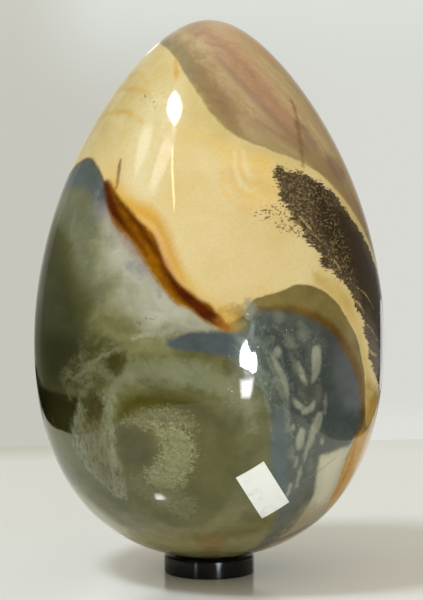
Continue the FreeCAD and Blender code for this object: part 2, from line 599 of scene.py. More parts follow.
def stroke(points: Sequence[Place], *widths: float) -> Stroke:
    """Draw a stroke along places.

    Args:
        points: the places.
        *widths: widths in mm at even steps along the stroke, from its start to its end.

    Returns:
        The stroke.
    """
    at = np.interp(np.linspace(0, 1, len(points)), np.linspace(0, 1, len(widths)), widths)
    return Stroke(tuple((turn, height, float(wide)) for (turn, height), wide in zip(points, at)))


def zone(name: str, mineral: Mineral, *shapes: Shape, within: str = "") -> Zone:
    """Name one zone of the stone.

    Args:
        name: the zone's name.
        mineral: how it looks.
        *shapes: the shapes that it covers.
        within: another zone that it stays within, if any.

    Returns:
        The zone.
    """
    return Zone(name, shapes, mineral, within)


# Tints, arcs and swirls of the cream field

CREAM_ZONES = (
    zone(
        "cream_warm",
        Mineral((222, 198, 146), (215, 188, 130), edge=14, fray=4, fray_grain=Grain.CLOUD, cover=0.7),
        Patch(((-20, 80), (0, 78), (20, 74), (30, 62), (20, 54), (5, 50), (-5, 54), (-12, 62), (-22, 70))),
    ),
    zone(
        "cream_top",
        Mineral((208, 188, 133), (198, 174, 112), edge=7, fray=2, fray_grain=Grain.CLOUD, cover=0.8),
        Patch(((-110, 104), (110, 104), (110, 74), (40, 74), (10, 76), (-20, 79), (-60, 78), (-110, 76))),
    ),
    zone(
        "cream_pale",
        Mineral((228, 216, 176), (222, 208, 160), edge=9, fray=2, cover=0.6),
        Patch(((-36, 86), (-24, 86), (-21, 74), (-26, 67), (-36, 70))),
    ),
    zone(
        "cream_dusty",
        Mineral((212, 196, 146), (198, 178, 122), edge=12, fray=4, fray_grain=Grain.CLOUD, cover=0.75),
        Patch(((-110, 93), (-60, 93), (-45, 82), (-48, 74.5), (-70, 76), (-110, 72))),
    ),
    zone(
        "cream_glow",
        Mineral((230, 196, 118), (224, 184, 100), edge=5, fray=1.6, fray_grain=Grain.CLOUD, cover=0.45),
        stroke(((-14, 79.6), (-2, 78.6), (8, 76.6), (14, 74), (20, 74.4), (28, 74.8)), 2, 4, 3, 2),
    ),
    zone(
        "cream_arcs",
        Mineral((214, 172, 84), (198, 148, 58), edge=2.6, fray=0.6, cover=0.75),
        stroke(((-120, 84), (-95, 88.3), (-75, 89.6), (-60, 90), (-50, 89.3), (-44, 88.3)), 0.6, 1.2, 0.3),
        stroke(((-120, 82), (-95, 86), (-75, 87.2), (-60, 87.2), (-50, 87.3), (-38, 86.4)), 0.4, 0.8, 0.2),
        stroke((
            (-120, 77), (-95, 81), (-75, 82), (-65, 82.7), (-58, 83), (-45, 82.9), (-34, 81.3),
        ), 0.6, 1.2, 0.2),
    ),
    zone(
        "cream_vein",
        Mineral((212, 162, 70), (194, 138, 44), edge=1.6, fray=0.2, cover=0.8),
        stroke(((-28, 92.8), (-25.5, 91.3), (-23, 90), (-21.5, 88.8)), 0.6, 1.6, 0.4),
    ),
    zone(
        "swirl_orange",
        Mineral((230, 190, 110), (222, 176, 88), edge=2.2, fray=0.9, cover=0.6),
        stroke(((5.4, 76), (5, 72), (6.5, 68.7), (10, 67), (15, 66.6)), 0.3, 0.9, 0.2),
        stroke(((9, 76.4), (8.5, 73.2), (9.8, 70.2), (13, 68.5), (17.5, 68.8)), 0.3, 1.2, 0.3),
        stroke(((12.4, 76), (12.4, 74), (13.8, 71.6), (17, 70.5), (20.5, 71.3)), 0.3, 0.9, 0.2),
        stroke(((20, 76), (22.4, 74), (22, 72)), 0.2, 0.8, 0.2),
    ),
    zone(
        "swirl_white",
        Mineral((242, 230, 194), (236, 220, 176), edge=2.0, fray=0.6, cover=0.5),
        stroke(((10.9, 76.2), (10.6, 73.8), (12, 71.1), (15.3, 69.5), (19, 70)), 0.3, 1.0, 0.3),
        stroke(((14.6, 76.2), (14.6, 74), (16.2, 72), (19, 71.8)), 0.4, 1.8, 0.5),
    ),
    zone(
        "cream_gold",
        Mineral((230, 196, 116), (218, 176, 90), edge=4, fray=1.5, cover=0.45),
        Patch(((16, 76), (26, 74), (28, 69), (22, 66), (14, 67), (16, 71))),
    ),
    zone(
        "cream_toe",
        Mineral((190, 152, 84), (146, 110, 48), grain=Grain.MOTTLE, edge=2.8, fray=1.6, cover=0.9),
        Patch(((2.6, 49), (6, 49.8), (10, 49.8), (12.8, 48.6), (11.8, 46.2), (7, 46), (4, 46.6))),
    ),
    zone(
        "cream_specks",
        Mineral(
            (128, 104, 76), (104, 82, 58), edge=0.9, inset=4.6, deepest=2.8, fray=4, fray_grain=Grain.SPECK,
            cover=0.6,
        ),
        Patch(((-50, 88), (-40, 87.8), (-30, 86.2), (-22, 84), (-24, 81.8), (-36, 83), (-46, 85.2))),
        Patch(((8, 66.6), (11, 66.3), (10.6, 65.2), (8, 65.2))),
    ),
    zone(
        "cream_crack",
        Mineral((132, 102, 58), (100, 74, 40), edge=0.9, cover=0.85),
        stroke(((-39.8, 74.8), (-38.6, 72.6), (-38, 71), (-37.2, 69.4)), 0.8, 1.4, 0.5),
    ),
)


# The mauve and brown cap of the egg

CAP_ZONES = (
    zone(
        "cap",
        Mineral(
            (176, 146, 108), (156, 128, 94), grain=Grain.SLANT, contrast=1.8, edge=0.8, fray=0.25,
            bands=(
                (0, (166, 146, 98)),
                (1.5, (150, 127, 84)),
                (5, (154, 128, 90)),
                (9, (168, 140, 102)),
                (13, (184, 152, 112)),
                (16, (186, 152, 114)),
            ),
        ),
        Shore(CAP_SHORE, above=True),
    ),
    zone(
        "cap_toe",
        Mineral((150, 124, 88), (136, 109, 76), grain=Grain.SLANT, edge=3, fray=1.0, cover=0.8),
        Patch((
            (-8, 88.2), (0, 85), (8, 81.8), (15, 80), (19, 80.6), (14, 83.2), (6, 87), (-2, 89.8),
            (-10, 90.6),
        )),
        within="cap",
    ),
    zone(
        "cap_shelf",
        Mineral((182, 158, 118), (166, 141, 103), grain=Grain.SLANT, edge=3, fray=0.8, cover=0.7),
        Patch(((18, 78.4), (30, 76.8), (40, 75.2), (43, 75.6), (36, 77.6), (26, 80.4), (18, 82.4), (14, 82))),
        within="cap",
    ),
    zone(
        "cap_olive",
        Mineral((150, 136, 100), (132, 118, 84), edge=3, fray=1.0, cover=0.85),
        Patch((
            (-100, 97.2), (-50, 96.8), (-25, 95), (-12, 91.6), (-8, 89), (-16, 88), (-30, 90), (-55, 93),
            (-100, 94),
        )),
        within="cap",
    ),
    zone(
        "cap_rose",
        Mineral((172, 132, 101), (156, 118, 91), grain=Grain.SLANT, edge=6, fray=2.0, cover=0.85),
        Patch((
            (-40, 99), (0, 98), (20, 95.5), (35, 90), (45, 84), (50, 80), (44, 79.5), (34, 83.5), (24, 88),
            (12, 93), (-20, 97.5),
        )),
        within="cap",
    ),
    zone(
        "cap_beige",
        Mineral(
            (194, 168, 126), (172, 144, 106), grain=Grain.SLANT, contrast=1.4, edge=4.6, fray=1.6,
            fray_grain=Grain.SLANT, cover=0.65,
        ),
        stroke((
            (-90, 98), (-60, 97.6), (-20, 96.2), (0, 93.2), (10, 90), (20, 86.2), (28, 82.2), (34, 79.4),
        ), 3.0, 4.0, 5.0, 5.0, 1.6),
        within="cap",
    ),
    zone(
        "cap_purple",
        Mineral(
            (146, 115, 94), (128, 98, 80), grain=Grain.SLANT, edge=3, fray=1.6, fray_grain=Grain.SLANT,
            cover=0.65,
        ),
        stroke(((6, 93), (15, 90.6), (25, 86.6), (33, 82.6), (42, 78.6), (47, 76.6)), 0.6, 2.0, 2.6, 2.0),
        stroke(((24, 81.6), (32, 79.6), (40, 77.6), (46, 76)), 0.4, 1.2, 1.2),
        within="cap",
    ),
    zone(
        "cap_tan",
        Mineral(
            (196, 174, 126), (178, 153, 110), grain=Grain.SLANT, edge=7, fray=2.5, fray_grain=Grain.SLANT,
            cover=0.75,
        ),
        Patch((
            (40, 96), (60, 92), (80, 86), (100, 78), (104, 60), (90, 58), (80, 64), (68, 71), (60, 76),
            (52, 80), (48, 86),
        )),
        within="cap",
    ),
    zone(
        "cap_spot",
        Mineral((150, 120, 94), (132, 104, 82), grain=Grain.SLANT, edge=3.5, fray=1.4, cover=0.65),
        Patch(((57, 74), (62, 75.4), (68, 74.2), (72, 72), (68, 70.4), (61, 71.4))),
        Patch(((46, 82), (51, 81.6), (56, 78), (54, 76.5), (48, 78))),
        within="cap",
    ),
    zone(
        "cap_vein",
        Mineral((140, 100, 62), (114, 76, 44), edge=1.8, fray=0.5, cover=0.75),
        stroke((
            (53.6, 85.4), (52, 84), (50, 82.2), (47, 79.8), (44.2, 77), (41.6, 73.6),
        ), 0.4, 1.4, 1.6, 0.6),
    ),
    zone(
        "cap_fringe",
        Mineral((160, 136, 90), (144, 118, 74), edge=1.6, cover=0.7),
        stroke(((48, 73.4), (55, 71.2), (60, 69.2), (70, 64), (80, 57.4), (90, 51.8)), 1.2, 2.6, 2.6, 2.0),
    ),
)


# The dark fern-like patch on the right and the yellow strip under it

FERN_OUTLINE = (
    (28, 73.5), (30, 73.3), (34, 72.8), (38, 73), (42, 72), (46, 71), (50, 70.3), (54, 68.8), (58, 66.8),
    (62, 64.5), (66, 62.5), (70, 60.3), (75, 56.8), (80, 54), (90, 47), (100, 40), (108, 33), (105, 26),
    (95, 26), (86, 28.5), (80, 30.5), (75, 32.8), (70, 34.8), (64, 38), (61.7, 39.4), (62, 41), (60, 43),
    (58.3, 44), (59, 46), (56, 47.5), (53.8, 48.5), (54, 50), (52, 51.5), (48, 53.5), (44, 55), (39.2, 56.6),
    (39.5, 57.4), (40, 58.5), (35, 60.3), (34, 62.6), (31, 64), (29, 67), (26.5, 68.5), (28, 70),
    (26.5, 71.5),
)
FERN_ZONES = (
    zone(
        "fern_sprig",
        Mineral(
            (104, 88, 66), (76, 62, 44), grain=Grain.SPECK, inset=3.4, deepest=2.6, fray=3.6,
            fray_grain=Grain.SPECK, cover=0.85,
        ),
        Patch(((13, 67), (20, 67.6), (28, 68), (36, 65), (38, 60), (30, 60.5), (20, 63), (14, 65))),
        Patch(((22, 74), (28, 74.5), (34, 74), (34, 64), (24, 66), (24, 70))),
    ),
    zone(
        "fern",
        Mineral((104, 88, 64), (64, 52, 34), grain=Grain.SPECK, edge=0.6, fray=1.5, fray_grain=Grain.NEEDLE),
        Patch(FERN_OUTLINE),
    ),
    zone(
        "fern_core",
        Mineral(
            (54, 41, 16), (36, 26, 6), grain=Grain.NEEDLE, edge=7, fray=2.5, fray_grain=Grain.CLOUD,
            cover=0.88,
        ),
        Patch((
            (44, 70), (54, 67), (62, 63.5), (72, 56.5), (82, 50), (94, 42), (100, 32), (90, 30), (78, 36),
            (70, 40), (62, 48), (52, 56), (42, 62),
        )),
        within="fern",
    ),
    zone(
        "fern_flecks",
        Mineral(
            (206, 180, 122), (160, 136, 92), edge=1.2, inset=4.0, deepest=2.6, fray=4.0,
            fray_grain=Grain.SPECK, cover=0.3,
        ),
        Patch(((24, 74), (42, 73), (54, 68), (58, 56), (56, 47), (44, 53), (32, 58), (24, 66))),
        within="fern",
    ),
    zone(
        "fern_scratches",
        Mineral((220, 194, 132), (196, 168, 108), edge=0.6, fray=0.2, cover=0.7),
        stroke(((33, 65.2), (37, 63), (41, 60.5)), 0.3, 0.6, 0.2),
        stroke(((46, 57.2), (48.4, 55.4)), 0.3, 0.6),
        stroke(((53, 50), (57, 48.8), (60, 47)), 0.4, 0.8, 0.3),
        stroke(((61.5, 40.8), (65, 39.6), (69, 39)), 0.4, 0.8, 0.3),
        stroke(((56, 52), (62, 50.4), (68, 47.6)), 0.2, 0.5, 0.2),
        stroke(((59, 45.4), (64, 44.2), (70, 41.6)), 0.2, 0.5, 0.2),
    ),
    zone(
        "strip",
        Mineral((208, 182, 112), (194, 164, 90), edge=3, fray=0.8, cover=0.8),
        Patch((
            (36, 55), (44, 53.6), (50, 50.6), (54, 47), (57.5, 42.5), (60, 38.6), (64, 35.4), (70, 32.2),
            (78, 29.4), (90, 27), (94, 23), (80, 23.6), (68, 24.8), (64, 28), (61, 32.8), (58.8, 37),
            (55.6, 41.4), (51, 46), (45, 50), (38, 52.6),
        )),
    ),
    zone(
        "strip_gold",
        Mineral((190, 156, 74), (162, 126, 40), grain=Grain.STREAK, edge=3, fray=0.8, cover=0.85),
        Patch(((62, 35), (72, 32.4), (88, 29), (94, 24), (80, 23.6), (68, 24.8), (63.6, 28.5), (61, 32.6))),
    ),
    zone(
        "strip_toe",
        Mineral((150, 104, 16), (120, 76, 6), edge=1.6, cover=0.9),
        stroke((
            (57.5, 24), (60, 24.4), (63, 25), (66, 25.3), (70, 25.4), (76, 25.8), (86, 26),
        ), 0.6, 2.2, 2.0, 0.8),
    ),
)


# The olive and slate base of the egg, with its lobe on the left, and the painted light and reflections of the
# table and of the dark gap beside it

BASE_ZONES = (
    zone(
        "base",
        Mineral((104, 102, 59), (83, 82, 42), edge=0.7, fray=0.2),
        Shore(LEFT_SHORE[:-1] + RUST_UNDER[:-1] + LOBE_OUTSIDE + BACK_SHORE),
    ),
    # Painted light: paler and greyer towards the bottom, standing in for the pale table that lights and
    # mirrors in the stone there.
    zone(
        "base_foot_painted_light",
        Mineral((125, 117, 72), (104, 98, 57), edge=12, fray=3, fray_grain=Grain.CLOUD, cover=0.8),
        Shore(tuple((turn, 12) for turn in range(-170, 190, 20))),
    ),
    # Painted light: paler still at the very bottom, for the same lit and mirrored table.
    zone(
        "base_under_painted_light",
        Mineral((150, 142, 96), (134, 126, 80), edge=7, fray=1.5, fray_grain=Grain.CLOUD, cover=0.75),
        Shore(tuple((turn, 7.4) for turn in range(-170, 190, 20))),
    ),
    # Painted reflection: a pale patch low on the left limb, where the stone mirrors the lit table.
    zone(
        "limb_painted_reflection",
        Mineral((184, 178, 140), (168, 162, 124), edge=6, fray=1, fray_grain=Grain.CLOUD, cover=0.7),
        Patch(((-120, 19), (-84, 18), (-70, 15.4), (-58, 12), (-48, 8.6), (-43, 5), (-60, 2), (-120, 2))),
    ),
    zone(
        "lobe_olive",
        Mineral((124, 125, 100), (110, 111, 86), edge=6, fray=2, fray_grain=Grain.CLOUD, cover=0.85),
        Patch((
            (-80, 72), (-60, 72), (-50, 70), (-42, 66), (-36, 58), (-28, 50), (-32, 47), (-40, 50), (-50, 56),
            (-60, 60.6), (-70, 62.6), (-84, 66),
        )),
        within="base",
    ),
    zone(
        "lobe_shade",
        Mineral((68, 68, 41), (56, 56, 31), edge=12, fray=2, fray_grain=Grain.CLOUD, cover=0.92),
        Patch((
            (-120, 64), (-85, 64), (-70, 61.6), (-60, 58.6), (-50, 54), (-42, 48), (-40, 41), (-48, 33),
            (-70, 26), (-100, 26), (-125, 40),
        )),
    ),
    zone(
        "lobe_core",
        Mineral((46, 46, 22), (38, 38, 16), edge=7, fray=2, fray_grain=Grain.CLOUD, cover=0.75),
        Patch(((-66, 43), (-54, 44), (-44, 42), (-40, 38), (-44, 35), (-56, 34.6), (-66, 37))),
    ),
    # Dark olive stone, painted darker still in the strip where it mirrors the dark gap beside the table: a
    # painted dark reflection.
    zone(
        "lobe_deep_painted_reflection",
        Mineral((40, 38, 12), (28, 26, 5), edge=1.4, fray=0.3, fray_grain=Grain.CLOUD, cover=0.85),
        Patch((
            (-125, 34), (-85, 33), (-60, 33), (-50, 32.8), (-44, 32.4), (-44, 29), (-45, 26.4), (-50, 25.7),
            (-60, 25.9), (-70, 27), (-90, 29), (-125, 29),
        )),
    ),
    zone(
        "lobe_slate",
        Mineral((88, 98, 102), (76, 86, 87), edge=4.5, fray=1.2, fray_grain=Grain.CLOUD, cover=0.85),
        Patch((
            (-110, 74), (-85, 76), (-70, 78), (-58, 78.4), (-48, 75.4), (-39, 70.5), (-35, 64.5), (-39, 62.6),
            (-45, 66.4), (-52, 68.6), (-60, 69.6), (-72, 69.5), (-85, 67), (-110, 62),
        )),
        within="base",
    ),
    zone(
        "lobe_light",
        Mineral((134, 131, 90), (114, 111, 70), edge=8, fray=2, fray_grain=Grain.CLOUD, cover=0.8),
        Patch(((-38, 49), (-32, 52), (-24, 50), (-14, 47), (-10, 44), (-16, 41.5), (-28, 42.5), (-36, 44))),
        within="base",
    ),
    zone(
        "lobe_haze",
        Mineral((150, 148, 118), (134, 132, 98), edge=6, fray=1.6, fray_grain=Grain.CLOUD, cover=0.9),
        Patch((
            (-44, 62), (-39, 66), (-34, 60), (-26, 54), (-18, 50), (-12, 46.6), (-18, 44.6), (-27, 47),
            (-35, 51), (-41, 56),
        )),
        within="base",
    ),
    zone(
        "cloud",
        Mineral((186, 184, 166), (168, 165, 144), edge=9, fray=1.4, fray_grain=Grain.CLOUD, cover=0.92),
        Patch((
            (-37.6, 66.6), (-34, 66.4), (-26, 65), (-16, 60), (-8, 54), (0, 49), (3, 46.4), (-2, 45.4),
            (-10, 45.6), (-18, 47.2), (-25, 50.4), (-31, 54.4), (-36, 58.6), (-40, 62.4),
        )),
        within="base",
    ),
    zone(
        "cloud_smudge",
        Mineral(
            (130, 126, 126), (114, 114, 116), edge=4.0, inset=2.2, deepest=3.2, fray=4.5,
            fray_grain=Grain.CLOUD, cover=0.6,
        ),
        Patch(((-27, 59), (-20, 57.8), (-15, 54), (-17, 52), (-24, 54), (-29, 56.4))),
        Patch(((-50, 69), (-42, 68), (-38, 63), (-46, 62))),
        within="base",
    ),
    zone(
        "cloud_toe",
        Mineral((176, 176, 160), (150, 150, 134), edge=1.8, fray=0.9, cover=0.7),
        stroke(((-24, 44.2), (-18, 44.8), (-12, 45.6), (-6, 46.2), (-1, 46.2)), 0.6, 1.2, 1.2, 0.6),
        within="base",
    ),
    zone(
        "lens",
        Mineral((80, 89, 90), (66, 75, 76), edge=1.6),
        Patch((
            (-13.5, 43.2), (-10, 44.3), (-7, 45), (-4, 45.2), (4, 45.5), (8, 45.3), (11, 45), (11, 41.5),
            (8, 40.8), (5, 41), (0, 41.5), (-5, 41.9), (-10, 42.3),
        )),
    ),
    zone(
        "lens_specks",
        Mineral((94, 98, 94), (80, 84, 80), edge=0.9, inset=3.8, deepest=2.0, fray=4.0, cover=0.5),
        Patch(((-24, 48), (-10, 48), (-7, 43), (-20, 42))),
        Patch(((-24, 42), (-8, 42), (-8, 36), (-22, 36.5))),
    ),
)


# The rust-red vein across the middle, with its halo and stripes

RUST_ZONES = (
    zone(
        "halo",
        Mineral((222, 182, 92), (208, 158, 58), edge=6.0, fray=1.0, fray_grain=Grain.CLOUD, cover=0.8),
        Patch((
            (-42, 71.5), (-35, 70), (-28, 68), (-20, 65.6), (-14, 61.6), (-10, 57.4), (-6, 53.6), (-1, 51.2),
            (5, 49), (8, 46.5), (0, 48), (-8, 51), (-14, 56), (-20, 60), (-30, 64), (-38, 68),
        )),
    ),
    zone(
        "rust_stripe",
        Mineral((212, 160, 50), (196, 138, 30), edge=4.4, fray=1.4, fray_grain=Grain.CLOUD, cover=0.8),
        stroke((
            (-38, 68.4), (-30, 66.8), (-24, 65.8), (-19, 64.2), (-15, 61.6), (-12, 58), (-9.4, 54.8),
            (-6, 52.2),
        ), 0.4, 2.0, 3.2, 2.6, 0.6),
    ),
    zone(
        "rust_haze",
        Mineral((150, 112, 104), (134, 96, 88), edge=3.2, fray=0.5, cover=0.65),
        stroke(((-41, 67.4), (-36, 64.6), (-31, 62), (-26, 59.8), (-20, 56)), 1.0, 3.0, 3.0, 0.8),
    ),
    zone(
        "rust",
        Mineral((152, 98, 4), (118, 68, 1), grain=Grain.SLANT, edge=1.6, fray=0.3),
        Patch(RUST_UNDER + RUST_OVER),
    ),
    zone(
        "rust_core",
        Mineral(
            (84, 30, 2), (60, 16, 1), grain=Grain.STREAK, edge=2.0, fray=0.3, fray_grain=Grain.CLOUD,
            cover=0.97,
        ),
        stroke((
            (-44, 70.6), (-42, 69.4), (-38.6, 67.2), (-35, 65.2), (-30, 63), (-25, 60.8), (-21, 58.4),
        ), 1.4, 2.8, 2.4, 0.8, 0.2),
        stroke((
            (-30, 64.8), (-25, 63.2), (-20.4, 61), (-17, 58.6), (-13.6, 55.4), (-10, 52.8), (-6, 51),
        ), 0.2, 0.5, 1.0, 1.8, 2.4),
        stroke(((-43, 70.4), (-37, 68.2), (-31, 66), (-25.4, 63.6), (-21, 61), (-17.4, 58.4)), 0.8, 1.0, 0.9),
        stroke(((-9, 52.2), (-5, 50.4), (-2, 49), (1, 47.8), (3, 46.8)), 2.4, 3.4, 3.4, 1.4),
    ),
    zone(
        "rust_foot",
        Mineral((148, 108, 34), (130, 90, 22), edge=1.8, fray=0.3, cover=0.5),
        stroke((
            (-36, 64.4), (-30, 62), (-25, 59.9), (-20, 56.6), (-15, 53.2), (-10, 50.4), (-5, 49.2),
        ), 0.4, 0.8, 0.6),
    ),
    zone(
        "rust_pink",
        Mineral((228, 182, 126), (214, 162, 104), edge=1.6, fray=0.3, cover=0.8),
        stroke((
            (-26, 65), (-20, 63.4), (-16.4, 60.6), (-13.4, 57.2), (-10, 54.6), (-6.6, 52.8),
        ), 0.3, 1.4, 1.2, 0.3),
    ),
    zone(
        "rust_end",
        Mineral((168, 108, 34), (140, 76, 16), edge=2.6, fray=1.0, cover=0.7),
        Patch(((1.4, 47.8), (3.4, 47.9), (5.6, 46.8), (6.2, 45.7), (4, 45.8), (2, 46.4))),
    ),
    zone(
        "limb_nicks",
        Mineral((40, 44, 44), (28, 31, 31), edge=0.6, fray=0.2, cover=0.8),
        stroke(((-88, 53.6), (-81, 53.2), (-77, 53.5)), 0.8, 1.0, 0.3),
        stroke(((-88, 48.6), (-81, 48.2), (-78, 48.4)), 0.6, 0.9, 0.3),
    ),
    zone(
        "lobe_rim",
        Mineral((104, 94, 58), (88, 78, 44), fray=0.2, cover=0.85),
        stroke(((-110, 69), (-95, 70.4)) + LEFT_SHORE[:-1], 0.9, 0.9),
    ),
)


# The slate lobe on the right with its olive rim and pale flecks, and what hangs below it

FLECKS = (
    ((33.4, 36.2), (35, 36), (36.6, 38), (37, 41), (36, 42.4), (34, 41.8), (33.6, 39.5)),
    ((28.2, 39.4), (29.2, 39.6), (31, 37.6), (32.2, 36), (31.6, 35.6), (29.6, 37)),
    ((27, 33.6), (28.4, 33), (31, 31.9), (30.6, 31.3), (28, 31.7), (26.8, 32.7)),
    ((31, 31.2), (33, 31.6), (35.2, 32.4), (35.4, 31), (33, 30.5), (31, 30.6)),
    (
        (37, 30.2), (38.8, 30), (38.8, 28.2), (37, 26), (35.4, 23.6), (34.6, 21.6), (33.8, 21.8), (34.2, 25),
        (35, 28),
    ),
    ((30.2, 27.4), (31.6, 27.8), (32.8, 26.6), (32.6, 24.6), (31, 23.8), (29.8, 25)),
    ((30, 22.6), (31.4, 22.4), (31.8, 21), (30.4, 20.6)),
    ((33, 20.4), (34, 20.4), (34.4, 17.4), (33.6, 16.6), (33, 18)),
    ((30.4, 17.4), (31.6, 17.2), (31.4, 15), (30.6, 14.8)),
    ((39.2, 33.4), (39.8, 33.2), (40.4, 30.6), (39.8, 30), (39.2, 31.6)),
    ((27, 28.2), (28, 28.7), (28.6, 27.8), (27.6, 27.3)),
    ((20.6, 42.2), (21.6, 42.6), (22.8, 41.8), (22.4, 40.8), (21, 41)),
    ((40, 25.4), (40.8, 25.8), (41.4, 24.8), (40.4, 24.6)),
    (
        (19.6, 41.4), (21, 40.4), (23.8, 37.6), (25.4, 34.6), (25.6, 31.4), (24.6, 33.8), (22.6, 37),
        (20, 39.8),
    ),
)
FAINT_FLECKS = (
    ((28.4, 46.4), (30.4, 46.6), (32.6, 44.8), (31.6, 43.2), (29, 43.8)),
    ((20, 48.6), (22.8, 48.8), (24, 47.4), (21.6, 46.8)),
    ((25.6, 41.6), (26.8, 41), (28.4, 38.4), (27.6, 37.8), (26, 39.6)),
    ((24.4, 44.4), (26.4, 44), (27.6, 42.2), (26, 42), (24.6, 43)),
    ((29, 34.8), (31, 34.8), (32.6, 33.6), (31, 33.2)),
    ((35.4, 35), (37, 35.2), (37.6, 33.4), (36, 33)),
    ((24.8, 30.4), (26, 30.4), (26.8, 28), (25.6, 27.4)),
    ((27.6, 24.6), (29, 24.4), (29.4, 22.4), (28, 22.4)),
    ((36.4, 21.6), (37.8, 21.8), (38.2, 20), (36.8, 19.8)),
)
